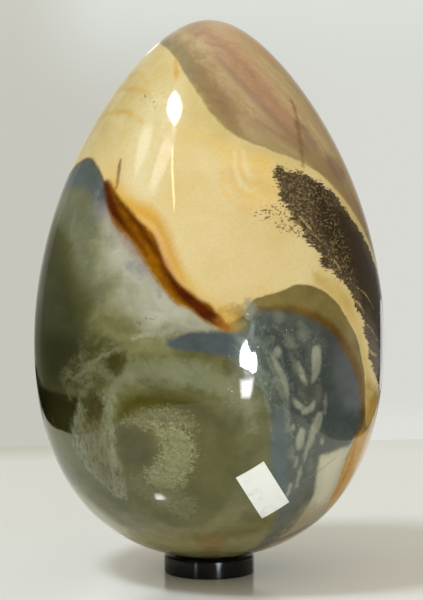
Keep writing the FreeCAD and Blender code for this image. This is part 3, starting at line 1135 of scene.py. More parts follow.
RIGHT_ZONES = (
    zone(
        "rim",
        Mineral((134, 117, 68), (114, 100, 57), edge=0.9, fray=0.2),
        Patch(LOBE_OUTSIDE + tuple(reversed(LOBE_INSIDE))),
    ),
    zone(
        "slate",
        Mineral((88, 94, 86), (64, 70, 67), edge=2.6, fray=0.8),
        Patch(
            LOBE_INSIDE
            + (
                (57, 23), (50, 22.8), (45, 22.4), (40, 21.5), (36, 19), (29, 15), (24, 18), (21.2, 22),
                (20.4, 27), (20, 31), (16, 37), (12.4, 43), (12.5, 47.5),
            ),
        ),
    ),
    zone(
        "slate_violet",
        Mineral((85, 88, 93), (76, 79, 83), edge=7, fray=2, cover=0.6),
        Patch(((42, 46), (50, 42), (55, 37), (59, 32), (60, 28), (52, 30), (46, 34), (41, 40))),
        within="slate",
    ),
    zone(
        "slate_dark",
        Mineral((64, 71, 70), (54, 61, 60), edge=5, fray=1.6, cover=0.6),
        Patch(((38, 36), (46, 34), (52, 29), (52, 25), (44, 25), (40, 29))),
        Patch(((25, 34), (30, 30), (30, 26), (26, 24), (23, 27))),
        within="slate",
    ),
    zone(
        "slate_teal",
        Mineral(
            (120, 128, 110), (76, 84, 76), grain=Grain.SLANT, share=0.45, contrast=1.9, edge=4, fray=1.6,
            fray_grain=Grain.SLANT, cover=0.8,
        ),
        Patch(((9, 44), (14, 44), (20, 40), (25, 33), (26, 27), (24, 26), (20, 31), (15, 35), (10, 39))),
    ),
    zone(
        "trail",
        Mineral((94, 99, 90), (76, 81, 73), edge=3.6, fray=1.2),
        Patch((
            (24, 22), (26, 18), (28, 15), (29, 12), (31, 8), (32, 2), (46, 2), (45, 9), (44.6, 12), (44, 15),
            (42, 18), (40.4, 22), (34, 24), (28, 24),
        )),
    ),
    zone(
        "trail_dark",
        Mineral((84, 84, 72), (68, 68, 57), edge=3.4, fray=0.8, cover=0.8),
        stroke(((41.4, 20), (42.4, 16), (43, 12), (42.6, 7), (42, 3)), 1.6, 3.6, 4.0, 3.0),
    ),
    zone(
        "slate_blue",
        Mineral((88, 100, 100), (74, 86, 86), edge=1.6, cover=0.85),
        Patch((
            (20.6, 31), (24, 31.6), (26.4, 28), (27.4, 22), (29, 17), (31, 12), (28, 13), (24, 18), (21, 23),
        )),
    ),
    zone(
        "strands",
        Mineral((130, 140, 124), (106, 116, 104), edge=1.2, fray=0.7, cover=0.6),
        stroke((
            (13.6, 46.6), (17.6, 41.6), (21.6, 36.4), (25.4, 31), (27.4, 26.6), (30, 21),
        ), 0.3, 1.0, 0.9, 0.3),
        stroke(((12.4, 43), (15.6, 37.6), (18.6, 31.6), (21, 26)), 0.3, 1.0, 0.3),
        stroke(((15, 47), (19.6, 41.8), (23, 37), (26, 33)), 0.3, 0.8, 0.2),
        stroke(((17.4, 46.4), (21.4, 42), (24.6, 37.4), (27.6, 34)), 0.3, 0.8, 0.2),
        stroke(((20, 46.4), (26, 43.2), (30, 39.4)), 0.2, 0.6, 0.2),
    ),
    zone(
        "fleck_faint",
        Mineral((132, 136, 118), (112, 117, 102), edge=2.0, fray=0.7, cover=0.6),
        *(Patch(points) for points in FAINT_FLECKS),
    ),
    zone(
        "flecks",
        Mineral((162, 162, 142), (134, 137, 120), edge=1.3, fray=0.45, fray_grain=Grain.SLANT, cover=0.88),
        *(Patch(points) for points in FLECKS),
    ),
    zone(
        "fleck_dust",
        Mineral(
            (134, 138, 122), (112, 117, 104), inset=4.6, deepest=2.6, fray=4.0, fray_grain=Grain.SPECK,
            cover=0.4,
        ),
        Patch(((18, 46), (34, 46.5), (42, 42), (42, 30), (40, 22), (30, 19), (24, 24), (18, 36))),
        within="slate",
    ),
    zone(
        "rim_end",
        Mineral((156, 154, 138), (122, 124, 112), grain=Grain.MOTTLE, edge=2.4, fray=1.2, cover=0.8),
        Patch(((10.4, 50), (12.6, 50.8), (14.8, 49.6), (13.8, 47.6), (11, 47.2))),
    ),
    zone(
        "slate_plum",
        Mineral((92, 90, 82), (76, 74, 67), edge=2.0, fray=0.6, cover=0.75),
        Patch(((29, 35.6), (33, 35.4), (38.6, 34.6), (40.4, 32.8), (36, 32.6), (31, 33.4))),
    ),
    zone(
        "rim_amber",
        Mineral((116, 84, 10), (90, 61, 4), edge=2.4, fray=0.3, cover=0.9),
        stroke(LOBE_INSIDE, 0.6, 2.3, 2.9, 2.2),
    ),
    zone(
        "wedge",
        Mineral(
            (196, 194, 172), (160, 156, 130), edge=1.8,
            bands=((0, (172, 168, 144)), (4, (196, 192, 168)), (12, (182, 174, 146))),
        ),
        Patch((
            (41, 22), (45, 22.5), (50, 23), (56, 23.2), (58.6, 24.4), (57, 20), (58, 17), (61, 13), (64, 8),
            (60, 3), (45, 3), (45, 9), (44.8, 12), (44.4, 15), (42.4, 18),
        )),
    ),
    zone(
        "wedge_low",
        Mineral((160, 150, 118), (140, 130, 98), edge=7, fray=2, cover=0.8),
        Patch(((43, 12), (52, 12), (62, 12), (70, 6), (60, 1), (43, 1))),
    ),
    zone(
        "wedge_scratch",
        Mineral((140, 120, 98), (124, 104, 82), edge=0.7, fray=0.15, cover=0.6),
        stroke(((36, 17.5), (41, 19), (45, 20), (50, 21.5)), 0.2, 0.6, 0.2),
    ),
    zone(
        "gold",
        Mineral((200, 156, 50), (182, 132, 30), grain=Grain.STREAK, edge=2.6, fray=0.8),
        Patch((
            (57.4, 20), (60, 24.6), (66, 25), (78, 24.4), (94, 21.6), (100, 15), (92, 10), (76, 9.4),
            (64, 10.6), (59.4, 14),
        )),
    ),
    zone(
        "gold_core",
        Mineral((178, 118, 22), (158, 98, 12), edge=3.0, fray=0.6, cover=0.85),
        stroke(((60.6, 23.6), (61.8, 20), (62, 16), (61, 13)), 1.2, 2.6, 1.6),
    ),
    zone(
        "red_band",
        Mineral((116, 80, 62), (94, 62, 46), edge=2.4, fray=0.5, cover=0.9),
        stroke(((32, 3.4), (40, 4.6), (50, 5.7), (60, 7.2), (72, 8.4), (88, 9.2)), 1.8, 3.0, 2.8, 1.4),
    ),
)


# The mottled disc, arch and band on the lower left

LEFT_ZONES = (
    zone(
        "mottle",
        Mineral(
            (140, 142, 110), (86, 82, 47), grain=Grain.FIBRE, share=0.52, contrast=1.4, edge=1.8, fray=1.2,
            cover=0.95,
        ),
        Patch((
            (-44.6, 33), (-47.4, 31), (-49.4, 29), (-51.4, 27), (-52.8, 25), (-53, 23), (-51.6, 21),
            (-48.6, 19), (-44, 17), (-38, 14.4), (-33, 14.6), (-31, 20), (-31, 24), (-31.6, 28), (-31, 32),
            (-29, 36), (-36, 34.6),
        )),
    ),
    zone(
        "mottle_pale",
        Mineral(
            (122, 128, 108), (100, 106, 84), grain=Grain.FIBRE, edge=4.4, fray=2.0, fray_grain=Grain.FIBRE,
            cover=0.6,
        ),
        stroke((
            (-42, 32.4), (-46.4, 30), (-49.4, 27), (-51, 24), (-49.8, 21.4), (-46.4, 19.4), (-42, 17.6),
        ), 0.6, 1.6, 3.0, 3.4, 1.2),
    ),
    zone(
        "mottle_brown",
        Mineral(
            (100, 94, 55), (80, 75, 40), grain=Grain.FIBRE, edge=4, fray=2.6, fray_grain=Grain.FIBRE,
            cover=0.6,
        ),
        Patch(((-45, 29), (-39, 30), (-37, 24), (-38, 17), (-42, 18), (-45, 22))),
    ),
    zone(
        "arch",
        Mineral((136, 138, 108), (118, 119, 84), edge=4.6, fray=1.6, cover=0.8),
        stroke((
            (-33.6, 29), (-33.4, 31), (-32, 34), (-28, 37), (-23, 38.4), (-16, 38.4), (-6, 37.8), (2, 36.8),
            (8, 35), (12, 32.4), (14, 29),
        ), 1.4, 3.6, 5.6, 6.4, 6.4, 6.0, 5.0, 2.4),
    ),
    zone(
        "streaks",
        Mineral(
            (132, 132, 100), (68, 66, 36), grain=Grain.RISE, share=0.42, contrast=1.4, edge=5, fray=2.2,
            cover=0.7,
        ),
        Patch(((-56, 34), (-50, 38), (-42, 42.4), (-34, 44), (-28, 42), (-28, 39), (-35, 35.6), (-45, 33))),
    ),
    zone(
        "blob",
        Mineral((66, 61, 24), (57, 52, 17), edge=3.0, fray=1.8, cover=0.85),
        Patch(((-34, 40.4), (-29, 41.2), (-26.6, 39.6), (-28.6, 37.4), (-32.6, 38))),
        Patch(((-44, 32.6), (-38, 34.4), (-35.4, 32), (-37, 29), (-43, 29.6))),
    ),
    zone(
        "disc",
        Mineral((92, 89, 38), (79, 76, 24), edge=3.0, fray=1.0, cover=0.9),
        Patch((
            (-30.4, 28), (-27, 32.6), (-18, 34.6), (-8, 34.2), (2, 31.4), (8, 27.6), (10, 22), (8, 15),
            (0, 10.5), (-10, 9), (-22, 10.5), (-30, 15), (-32, 22),
        )),
    ),
    zone(
        "disc_rim",
        Mineral((78, 72, 28), (68, 62, 20), edge=3.0, fray=0.8, cover=0.75),
        stroke(((-29, 30.4), (-25, 32.4), (-18, 33.4), (-10, 33.2), (-3, 31.8), (4, 29)), 1.4, 2.8, 2.8, 2.0),
    ),
    zone(
        "disc_top",
        Mineral(
            (134, 132, 96), (88, 84, 46), grain=Grain.RIPPLE, edge=2.4, fray=2.0, fray_grain=Grain.RIPPLE,
            cover=0.8,
        ),
        Patch(((-29, 28.6), (-24, 31), (-16, 32), (-8, 31.2), (-3.6, 28), (-10, 28.4), (-20, 28))),
    ),
    zone(
        "disc_light",
        Mineral(
            (152, 152, 110), (104, 102, 62), grain=Grain.RIPPLE, share=0.55, edge=3.0, fray=2.2,
            fray_grain=Grain.RIPPLE, cover=0.85,
        ),
        Patch((
            (-18.4, 28.6), (-14, 29), (-9, 28.6), (-5.6, 26.8), (-4.8, 23.6), (-6.6, 20.4), (-10, 18),
            (-15, 17.2), (-20, 17.6), (-23, 19), (-20.4, 21), (-17, 22.8), (-15.8, 25), (-17, 27),
        )),
    ),
    zone(
        "disc_low",
        Mineral(
            (120, 118, 84), (92, 84, 48), grain=Grain.RIPPLE, edge=2.4, fray=2.0, fray_grain=Grain.RIPPLE,
            cover=0.6,
        ),
        Patch(((-27, 19.6), (-20, 18.6), (-12, 17.4), (-9, 15.6), (-14, 13.6), (-22, 14), (-28, 16))),
    ),
    zone(
        "disc_dark",
        Mineral((80, 76, 40), (68, 64, 28), edge=2.4, fray=0.9, cover=0.85),
        Patch(((-31, 26.6), (-27, 28.4), (-21.4, 27.4), (-18.6, 24.8), (-20, 22.6), (-26, 21.2), (-31, 22))),
    ),
    zone(
        "disc_foot",
        Mineral(
            (114, 116, 80), (94, 94, 58), grain=Grain.RIPPLE, edge=1.8, fray=1.8, fray_grain=Grain.RIPPLE,
            cover=0.7,
        ),
        Patch(((-16, 13.6), (-12, 14.6), (-6, 15.4), (-5, 13), (-9, 11.2), (-14, 11.8))),
    ),
    zone(
        "foot_rust",
        Mineral((138, 102, 46), (122, 85, 34), edge=4, fray=1.2, cover=0.55),
        Patch(((-6, 7), (6, 7.2), (9, 5), (4, 3.2), (-5, 3.8))),
    ),
)


# What the stone shows on the side away from the front view

BACK_ZONES = (
    zone(
        "back_slate",
        Mineral((92, 101, 104), (72, 82, 86), edge=5, fray=2.5, fray_grain=Grain.CLOUD),
        Patch((
            (112, 24), (140, 30), (170, 38), (198, 46), (222, 42), (210, 29), (182, 20), (150, 13), (120, 13),
        )),
    ),
    zone(
        "back_cloud",
        Mineral((180, 178, 156), (138, 138, 112), grain=Grain.MOTTLE, edge=5, fray=2.5, cover=0.85),
        Patch(((150, 11), (184, 17), (212, 26), (240, 32), (262, 30), (250, 21), (222, 12), (186, 6))),
    ),
    zone(
        "back_rim",
        Mineral((132, 116, 68), (112, 96, 50), edge=2.4, fray=0.8, cover=0.9),
        stroke((
            (88, 21), (110, 23.6), (140, 30.6), (170, 39.6), (200, 49.6), (230, 58.6), (255, 65), (272, 69),
        ), 3, 8, 7, 2),
    ),
    zone(
        "back_vein",
        Mineral((178, 104, 22), (122, 56, 8), grain=Grain.STREAK, edge=1.4, fray=0.7),
        stroke((
            (92, 23.2), (110, 25.8), (140, 32.8), (170, 41.8), (200, 51.8), (230, 60.8), (250, 65.8),
        ), 0.8, 2.4, 3.2, 1.0),
    ),
    zone(
        "back_fern",
        Mineral(
            (104, 90, 70), (58, 48, 34), grain=Grain.NEEDLE, edge=0.8, inset=0.8, fray=2.6,
            fray_grain=Grain.NEEDLE,
        ),
        Patch(((152, 54), (168, 61), (190, 66), (208, 66), (218, 62), (206, 57), (184, 52), (164, 49))),
    ),
    zone(
        "back_arcs",
        Mineral((224, 180, 94), (206, 152, 62), edge=2.2, fray=0.7, cover=0.8),
        stroke(((236, 86), (215, 79), (195, 71), (178, 62.6), (165, 56)), 0.8, 1.8, 0.5),
        stroke(((240, 80), (222, 74.6), (205, 69.6)), 0.6, 1.4, 0.4),
        stroke(((120, 42), (140, 44), (155, 50), (170, 60)), 0.6, 1.8, 0.6),
    ),
    zone(
        "cap_back",
        Mineral(
            (134, 106, 90), (118, 92, 76), grain=Grain.STREAK, edge=3.4, fray=1.6, fray_grain=Grain.STREAK,
            cover=0.65,
        ),
        stroke(((96, 58), (112, 54), (130, 56), (150, 66), (172, 79), (200, 90), (240, 97)), 2, 5, 5, 2),
        stroke(((90, 76), (115, 71), (140, 76), (170, 88), (210, 96)), 2, 4, 2),
    ),
)


@dataclass(frozen=True)
class StoneFinish:
    """Polished banded stone: its zones are painted one over another, under one even, sharp polish."""

    cream_light: Colour = (224, 205, 152)
    cream_dark: Colour = (214, 188, 124)
    roughness: float = 0.045
    index: float = 1.54
    clouds: tuple[float, float] = (0.1, 0.9)
    dapple: Noise = Noise(0.7, 3.0, 0.6, seed=500.0)
    dapple_shades: tuple[float, float] = (0.96, 1.03)
    ripples: Noise = Noise(9.0, 2.0, 0.5, seed=700.0)
    ripple: float = 0.01
    pits: Noise = Noise(0.8, 1.0, 0.5, seed=900.0)
    pit_share: float = 0.1
    pit: float = 0.02
    relief: float = 0.6

    def zones(self) -> tuple[Zone, ...]:
        """Every zone, from the lowest layer of paint to the topmost."""
        front = CREAM_ZONES + CAP_ZONES + FERN_ZONES + BASE_ZONES + RIGHT_ZONES + LEFT_ZONES + RUST_ZONES
        return front + BACK_ZONES

    def make(self, reach: float) -> bpy.types.Material:
        """Paint the stone.

        Args:
            reach: the depth in mm at which bands of tone end.

        Returns:
            The material.
        """
        paint = Painter.material("polished_stone")
        parted = paint.step(paint.grain(Grain.SMOKE), *self.clouds)
        colour = paint.mix(parted, linear(self.cream_dark), linear(self.cream_light))
        for layer in self.zones():
            colour = paint.lay(layer, colour, reach)
        colour = paint.shade(colour, paint.noise(self.dapple), *self.dapple_shades)
        ripple = paint.product(paint.noise(self.ripples), self.ripple)
        pits = paint.step(paint.noise(self.pits), 1 - self.pit_share, 1.0)
        relief = paint.math("MULTIPLY_ADD", pits, -self.pit, ripple)
        feeds = {
            "Base Color": colour,
            "Roughness": self.roughness,
            "IOR": self.index,
            "Normal": paint.bump(relief, MM, self.relief),
        }
        return paint.finish(paint.node("ShaderNodeBsdfPrincipled", feeds))


@dataclass(frozen=True)
class GlossBlack:
    """Glossy black plastic, turned, so that it draws highlights out up and down, with a little dust."""

    black: Colour = (9, 9, 8)
    dust: Colour = (40, 38, 34)
    roughness: float = 0.2
    turned: float = 0.9
    index: float = 1.45
    specks: Noise = Noise(0.5, 2.0, 0.6, seed=11.0)
    lines: Noise = Noise(6.0, 3.0, 0.6, stretch=(0.2, 0.2, 40.0), seed=60.0)
    line_depth: float = 0.004 * MM
    wear: Noise = Noise(3.0, 3.0, 0.6, seed=90.0)

    def make(self) -> bpy.types.Material:
        """Dress the ring in it."""
        paint = Painter.material("ring_gloss_black")
        specks = paint.step(paint.noise(self.specks), 0.86, 1.0, 0.0, 0.5)
        colour = paint.mix(specks, linear(self.black), linear(self.dust))
        lines, worn = paint.noise(self.lines), paint.noise(self.wear)
        rough = paint.step(worn, 0.2, 1.0, self.roughness * 0.8, self.roughness * 1.6)
        round_it = paint.node("ShaderNodeTangent", {}, direction_type="RADIAL", axis="Z").outputs["Tangent"]
        feeds = {
            "Base Color": colour,
            "Roughness": rough,
            "IOR": self.index,
            "Anisotropic": self.turned,
            "Anisotropic Rotation": 0.25,
            "Tangent": round_it,
            "Normal": paint.bump(lines, self.line_depth, 0.5),
        }
        return paint.finish(paint.node("ShaderNodeBsdfPrincipled", feeds))


@dataclass(frozen=True)
class LabelPaper:
    """Matt white label paper with faint fibres and smudges."""

    white: Colour = (240, 241, 235)
    smudge: Colour = (216, 220, 218)
    roughness: float = 0.72
    index: float = 1.45
    smudges: Noise = Noise(2.4, 4.0, 0.6, seed=21.0)
    fibres: Noise = Noise(0.35, 3.0, 0.7, stretch=(1.0, 1.0, 2.0), seed=31.0)
    fibre_depth: float = 0.01 * MM

    def make(self) -> bpy.types.Material:
        """Dress the label in it."""
        paint = Painter.material("label_paper")
        smudges = paint.step(paint.noise(self.smudges), 0.55, 1.0, 0.0, 0.7)
        colour = paint.mix(smudges, linear(self.white), linear(self.smudge))
        feeds = {
            "Base Color": colour,
            "Roughness": self.roughness,
            "IOR": self.index,
            "Normal": paint.bump(paint.noise(self.fibres), self.fibre_depth, 0.6),
        }
        return paint.finish(paint.node("ShaderNodeBsdfPrincipled", feeds))


@dataclass
class StoneEgg:
    """The egg: an exact turned mesh that carries the depth of every zone of its pattern."""

    outline: EggOutline
    rows: int = 290
    front_columns: int = 250
    back_columns: int = 85
    front_half_turn: float = 105.0
    finish: StoneFinish = field(default_factory=StoneFinish)

    def columns(self) -> np.ndarray:
        """Turn of every column of vertices in degrees, closer together on the front."""
        half = self.front_half_turn
        front = np.linspace(-half, half, self.front_columns, endpoint=False)
        back = np.linspace(half, FULL_TURN - half, self.back_columns, endpoint=False)
        return np.concatenate([front, back])

    def mesh(self) -> tuple[bpy.types.Object, StoneChart]:
        """Turn the outline into a mesh.

        Returns:
            The piece and the chart of its vertices.
        """
        _, radii, levels, arcs = self.outline.table()
        stops = np.linspace(0, arcs[-1], self.rows + 1)[1:-1]
        radius = np.interp(stops, arcs, radii)
        turns = self.columns()
        across = np.radians(turns)
        count = len(turns)
        body = np.stack([
            np.outer(radius, np.sin(across)).ravel(),
            np.outer(radius, -np.cos(across)).ravel(),
            np.repeat(np.interp(stops, arcs, levels), count),
        ], axis=1)
        vertices = np.concatenate([[[0, 0, levels[0]]], body, [[0, 0, levels[-1]]]])
        top = len(vertices) - 1
        last = top - count
        faces: list[tuple[int, ...]] = []
        for low in range(1, last, count):
            high = low + count
            faces.extend(
                (low + column, low + (column + 1) % count, high + (column + 1) % count, high + column)
                for column in range(count)
            )
        faces.extend((0, 1 + (column + 1) % count, 1 + column) for column in range(count))
        faces.extend((top, last + column, last + (column + 1) % count) for column in range(count))
        piece = add_piece("egg_stone", vertices, faces)
        return piece, StoneChart(self.outline, turns, stops / MM, radius / MM)

    def build(self) -> bpy.types.Object:
        """Build and dress the egg."""
        piece, chart = self.mesh()
        for layer in self.finish.zones():
            depth = layer.depth(chart)
            values = np.concatenate([depth[:1].mean(axis=1), depth.ravel(), depth[-1:].mean(axis=1)])
            held = piece.data.attributes.new(layer.name, "FLOAT", "POINT")
            held.data.foreach_set("value", values.astype(np.float32))
        piece.data.materials.append(self.finish.make(chart.reach))
        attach(piece, "egg")
        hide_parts("stone_egg")
        return piece


@dataclass
class RingStand:
    """The turned ring that the egg stands in."""

    outside: float
    height: float
    bore_share: float = 0.56
    seat_round: float = 1.0 * MM
    rim_round: float = 0.5 * MM
    foot_round: float = 0.4 * MM
    segments: int = 240
    corner_steps: int = 10
    finish: GlossBlack = field(default_factory=GlossBlack)

    def section(self) -> np.ndarray:
        """Follow the ring's section, from the foot up the outside and down the bore.

        Returns:
            Rows of radius and height.
        """
        bore = self.outside * self.bore_share
        corners = (
            (self.outside, 0.0, self.foot_round, -1),
            (self.outside, self.height, self.rim_round, 0),
            (bore, self.height, self.seat_round, 1),
            (bore, 0.0, self.foot_round, 2),
        )
        rows = []
        for radius, level, rounding, quarter in corners:
            middle = (quarter + 0.5) * math.pi / 2
            centre = (
                radius - math.copysign(rounding, math.cos(middle)),
                level - math.copysign(rounding, math.sin(middle)),
            )
            angles = np.linspace(quarter, quarter + 1, self.corner_steps + 1) * math.pi / 2
            radii = centre[0] + rounding * np.cos(angles)
            rows.append(np.stack([radii, centre[1] + rounding * np.sin(angles)], axis=1))
        return np.concatenate(rows)

    def build(self) -> bpy.types.Object:
        """Turn the section into the ring and dress it."""
        section = self.section()
        turns = np.linspace(0, 2 * math.pi, self.segments, endpoint=False)
        vertices = np.stack([
            np.outer(np.cos(turns), section[:, 0]).ravel(),
            np.outer(np.sin(turns), section[:, 0]).ravel(),
            np.tile(section[:, 1], self.segments),
        ], axis=1)
        count = len(section)
        faces = [
            (
                turn * count + step,
                (turn + 1) % self.segments * count + step,
                (turn + 1) % self.segments * count + (step + 1) % count,
                turn * count + (step + 1) % count,
            )
            for turn in range(self.segments)
            for step in range(count)
        ]
        piece = add_piece("ring", vertices, faces)
        piece.data.materials.append(self.finish.make())
        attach(piece, "ring_stand")
        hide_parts("ring_stand")
        return piece


@dataclass
class PaperLabel:
    """The bare paper label, pressed to the egg's double curve."""

    outline: EggOutline
    width: float = 8.4 * MM
    length: float = 17.0 * MM
    thickness: float = 0.1 * MM
    glue: float = 0.02 * MM
    turn: float = 20.5
    percent: float = 16.3
    lean: float = 35.4
    across_steps: int = 24
    along_steps: int = 48
    cockle: float = 0.03 * MM
    sharp: float = 40.0
    halvings: int = 50
    finish: LabelPaper = field(default_factory=LabelPaper)

    def axes(self) -> tuple[Vector, Vector, Vector, Vector]:
        """Place the label on the stone.

        Returns:
            Its middle on the stone and its directions across, along and straight out.
        """
        out = self.outline.facing((self.turn, self.percent))
        side = math.radians(self.turn)
        level = Vector((math.cos(side), math.sin(side), 0))
        lean = math.radians(self.lean)
        across = level * math.cos(lean) + out.cross(level) * math.sin(lean)
        return self.outline.point((self.turn, self.percent)), across, out.cross(across), out

    def sheet(self, lift: np.ndarray) -> np.ndarray:
        """Lay a grid of points over the stone.

        Args:
            lift: how far each point stands off the stone, in metres.

        Returns:
            One row of x, y, z for each point.
        """
        middle, across, along, out = (np.array(vector) for vector in self.axes())
        right = np.linspace(-0.5, 0.5, self.across_steps + 1) * self.width
        up = np.linspace(-0.5, 0.5, self.along_steps + 1) * self.length
        grid = np.stack(np.meshgrid(right, up), axis=-1).reshape(-1, 2)
        flat = middle + grid[:, :1] * across + grid[:, 1:] * along
        low, high = np.full(len(flat), -self.length), np.full(len(flat), self.length)
        rises, radii, levels, _ = self.outline.table()
        slope = np.gradient(radii, levels)
        for _ in range(self.halvings):
            guess = (low + high) / 2
            point = flat + guess[:, None] * out
            radius = np.interp(point[:, 2], levels, radii)
            cosine = 1 / np.sqrt(1 + np.interp(point[:, 2], levels, slope) ** 2)
            away = (np.hypot(point[:, 0], point[:, 1]) - radius) * cosine
            low, high = np.where(away < lift, guess, low), np.where(away < lift, high, guess)
        return flat + ((low + high) / 2)[:, None] * out

    def build(self) -> bpy.types.Object:
        """Build and dress the label."""
        across, along = self.across_steps + 1, self.along_steps + 1
        right, up = np.meshgrid(np.linspace(0, 1, across), np.linspace(0, 1, along))
        wave = np.sin(5.1 * up + 2.3 * right + 0.6) * np.sin(3.7 * right + 1.1)
        wave += 0.5 * np.sin(9.7 * up - 4.1 * right)
        cockles = self.cockle * (0.5 + wave.ravel() / 3)
        under = self.sheet(np.full(across * along, self.glue))
        over = self.sheet(self.glue + self.thickness + cockles)
        count = across * along
        faces = []
        for row in range(along - 1):
            for column in range(across - 1):
                first = row * across + column
                square = (first, first + 1, first + across + 1, first + across)
                faces.append(tuple(count + corner for corner in square))
                faces.append(square[::-1])
        border = [
            *range(across - 1),
            *(row * across + across - 1 for row in range(along - 1)),
            *(count - 1 - column for column in range(across - 1)),
            *(row * across for row in range(along - 1, 0, -1)),
        ]
        for here, there in zip(border, border[1:] + border[:1]):
            faces.append((here, there, count + there, count + here))
        piece = add_piece("label", np.concatenate([under, over]), faces)
        piece.data.set_sharp_from_angle(angle=math.radians(self.sharp))
        piece.data.materials.append(self.finish.make())
        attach(piece, "egg")
        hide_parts("paper_label")
        return piece


@dataclass(frozen=True)
class Viewpoint:
    """The camera: where it stands, what height of the egg's axis it aims at, and its lens."""

    side: float = 0.63 * MM
    away: float = 650 * MM
    height: float = 130.4 * MM
    aim_height: float = 75.73 * MM
    lens: float = 141.9
    sensor: float = 36.0
    nearest: float = 0.05
    farthest: float = 20.0

    def place(self) -> Vector:
        """Where the camera stands."""
        return Vector((self.side, -self.away, self.height))

    def build(self) -> None:
        """Make the camera."""
        data = bpy.data.cameras.new("camera")
        data.lens = self.lens
        data.sensor_width = self.sensor
        data.clip_start, data.clip_end = self.nearest, self.farthest
        camera = bpy.data.objects.new("camera", data)
        bpy.context.scene.collection.objects.link(camera)
        camera.location = self.place()
        aim = Vector((self.side, 0, self.aim_height)) - self.place()
        camera.rotation_mode = "QUATERNION"
        camera.rotation_quaternion = aim.to_track_quat("-Z", "Y")
        bpy.context.scene.camera = camera


@dataclass(frozen=True)
class Mirror:
    """The polished egg as a mirror, for placing what its surface shows."""

    outline: EggOutline
    eye: Vector

    def ray(self, place: Place) -> tuple[Vector, Vector]:
        """Follow a look at a place on the stone.

        Args:
            place: the place on the stone.

        Returns:
            The point there and the direction in which the look goes on from it.
        """
        point = self.outline.point(place)
        facing = self.outline.facing(place)
        look = (point - self.eye).normalized()
        return point, look - 2 * look.dot(facing) * facing


@dataclass(frozen=True)
class Lamp:
    """A soft round lamp that lights the scene. What polished surfaces show of it is a Glow."""

    name: str
    image: Place
    size: float
    light: float
    tint: Colour
    distance: float = 1.0

    def build(self, mirror: Mirror) -> None:
        """Make the lamp.

        Args:
            mirror: the polished egg, which shows the lamp at its image.
        """
        point, towards = mirror.ray(self.image)
        data = bpy.data.lights.new(self.name, "AREA")
        data.shape = "DISK"
        data.size = self.size
        data.color = linear(self.tint)[:3]
        data.energy = self.light * (math.pi * self.distance) ** 2
        lamp = bpy.data.objects.new(self.name, data)
        bpy.context.scene.collection.objects.link(lamp)
        lamp.location = point + towards * self.distance
        lamp.rotation_mode = "QUATERNION"
        lamp.rotation_quaternion = towards.to_track_quat("Z", "Y")
        lamp.visible_camera = False
        lamp.visible_glossy = False


def hide_from(piece: bpy.types.Object, *kinds: str) -> None:
    """Hide a piece from some kinds of ray."""
    for kind in kinds:
        setattr(piece, f"visible_{kind}", False)


@dataclass(frozen=True)
class Glow:
    """A soft-edged lit card that only polished surfaces show, drawn by where the stone shows its outline."""

    name: str
    image: tuple[Place, ...]
    radiance: float
    soft: float = 0.2
    tint: Colour = (255, 255, 255)
    distance: float = 0.9

    def build(self, mirror: Mirror) -> None:
        """Make the card.

        Args:
            mirror: the polished egg.
        """
        rays = [mirror.ray(place) for place in self.image]
        border = np.array([point + towards * self.distance for point, towards in rays])
        middle = border.mean(axis=0)
        inner = middle + (border - middle) * (1 - self.soft)
        outer = middle + (border - middle) * (1 + self.soft / 2)
        count = len(border)
        following = [(index + 1) % count for index in range(count)]
        faces = []
        for here, after in enumerate(following):
            faces.append((0, 1 + here, 1 + after))
            faces.append((1 + here, 1 + count + here, 1 + count + after, 1 + after))
        piece = add_piece(self.name, np.concatenate([[middle], inner, outer]), faces)
        held = piece.data.attributes.new("glow", "FLOAT", "POINT")
        held.data.foreach_set("value", np.r_[1.0, np.ones(count), np.zeros(count)].astype(np.float32))
        paint = Painter.material(self.name)
        strength = paint.product(paint.step(paint.attribute("glow"), 0.0, 1.0), self.radiance)
        light = paint.node("ShaderNodeEmission", {"Color": linear(self.tint), "Strength": strength})
        clear = paint.node("ShaderNodeBsdfTransparent", {})
        both = paint.node("ShaderNodeAddShader", {0: clear.outputs[0], 1: light.outputs[0]})
        piece.data.materials.append(paint.finish(both))
        hide_from(piece, *UNSEEN)


@dataclass(frozen=True)
class Fade:
    """A soft change along one axis of a look: from bottom to top while the look goes from low to high."""

    axis: str
    low: float
    high: float
    bottom: float = 0.0
    top: float = 1.0


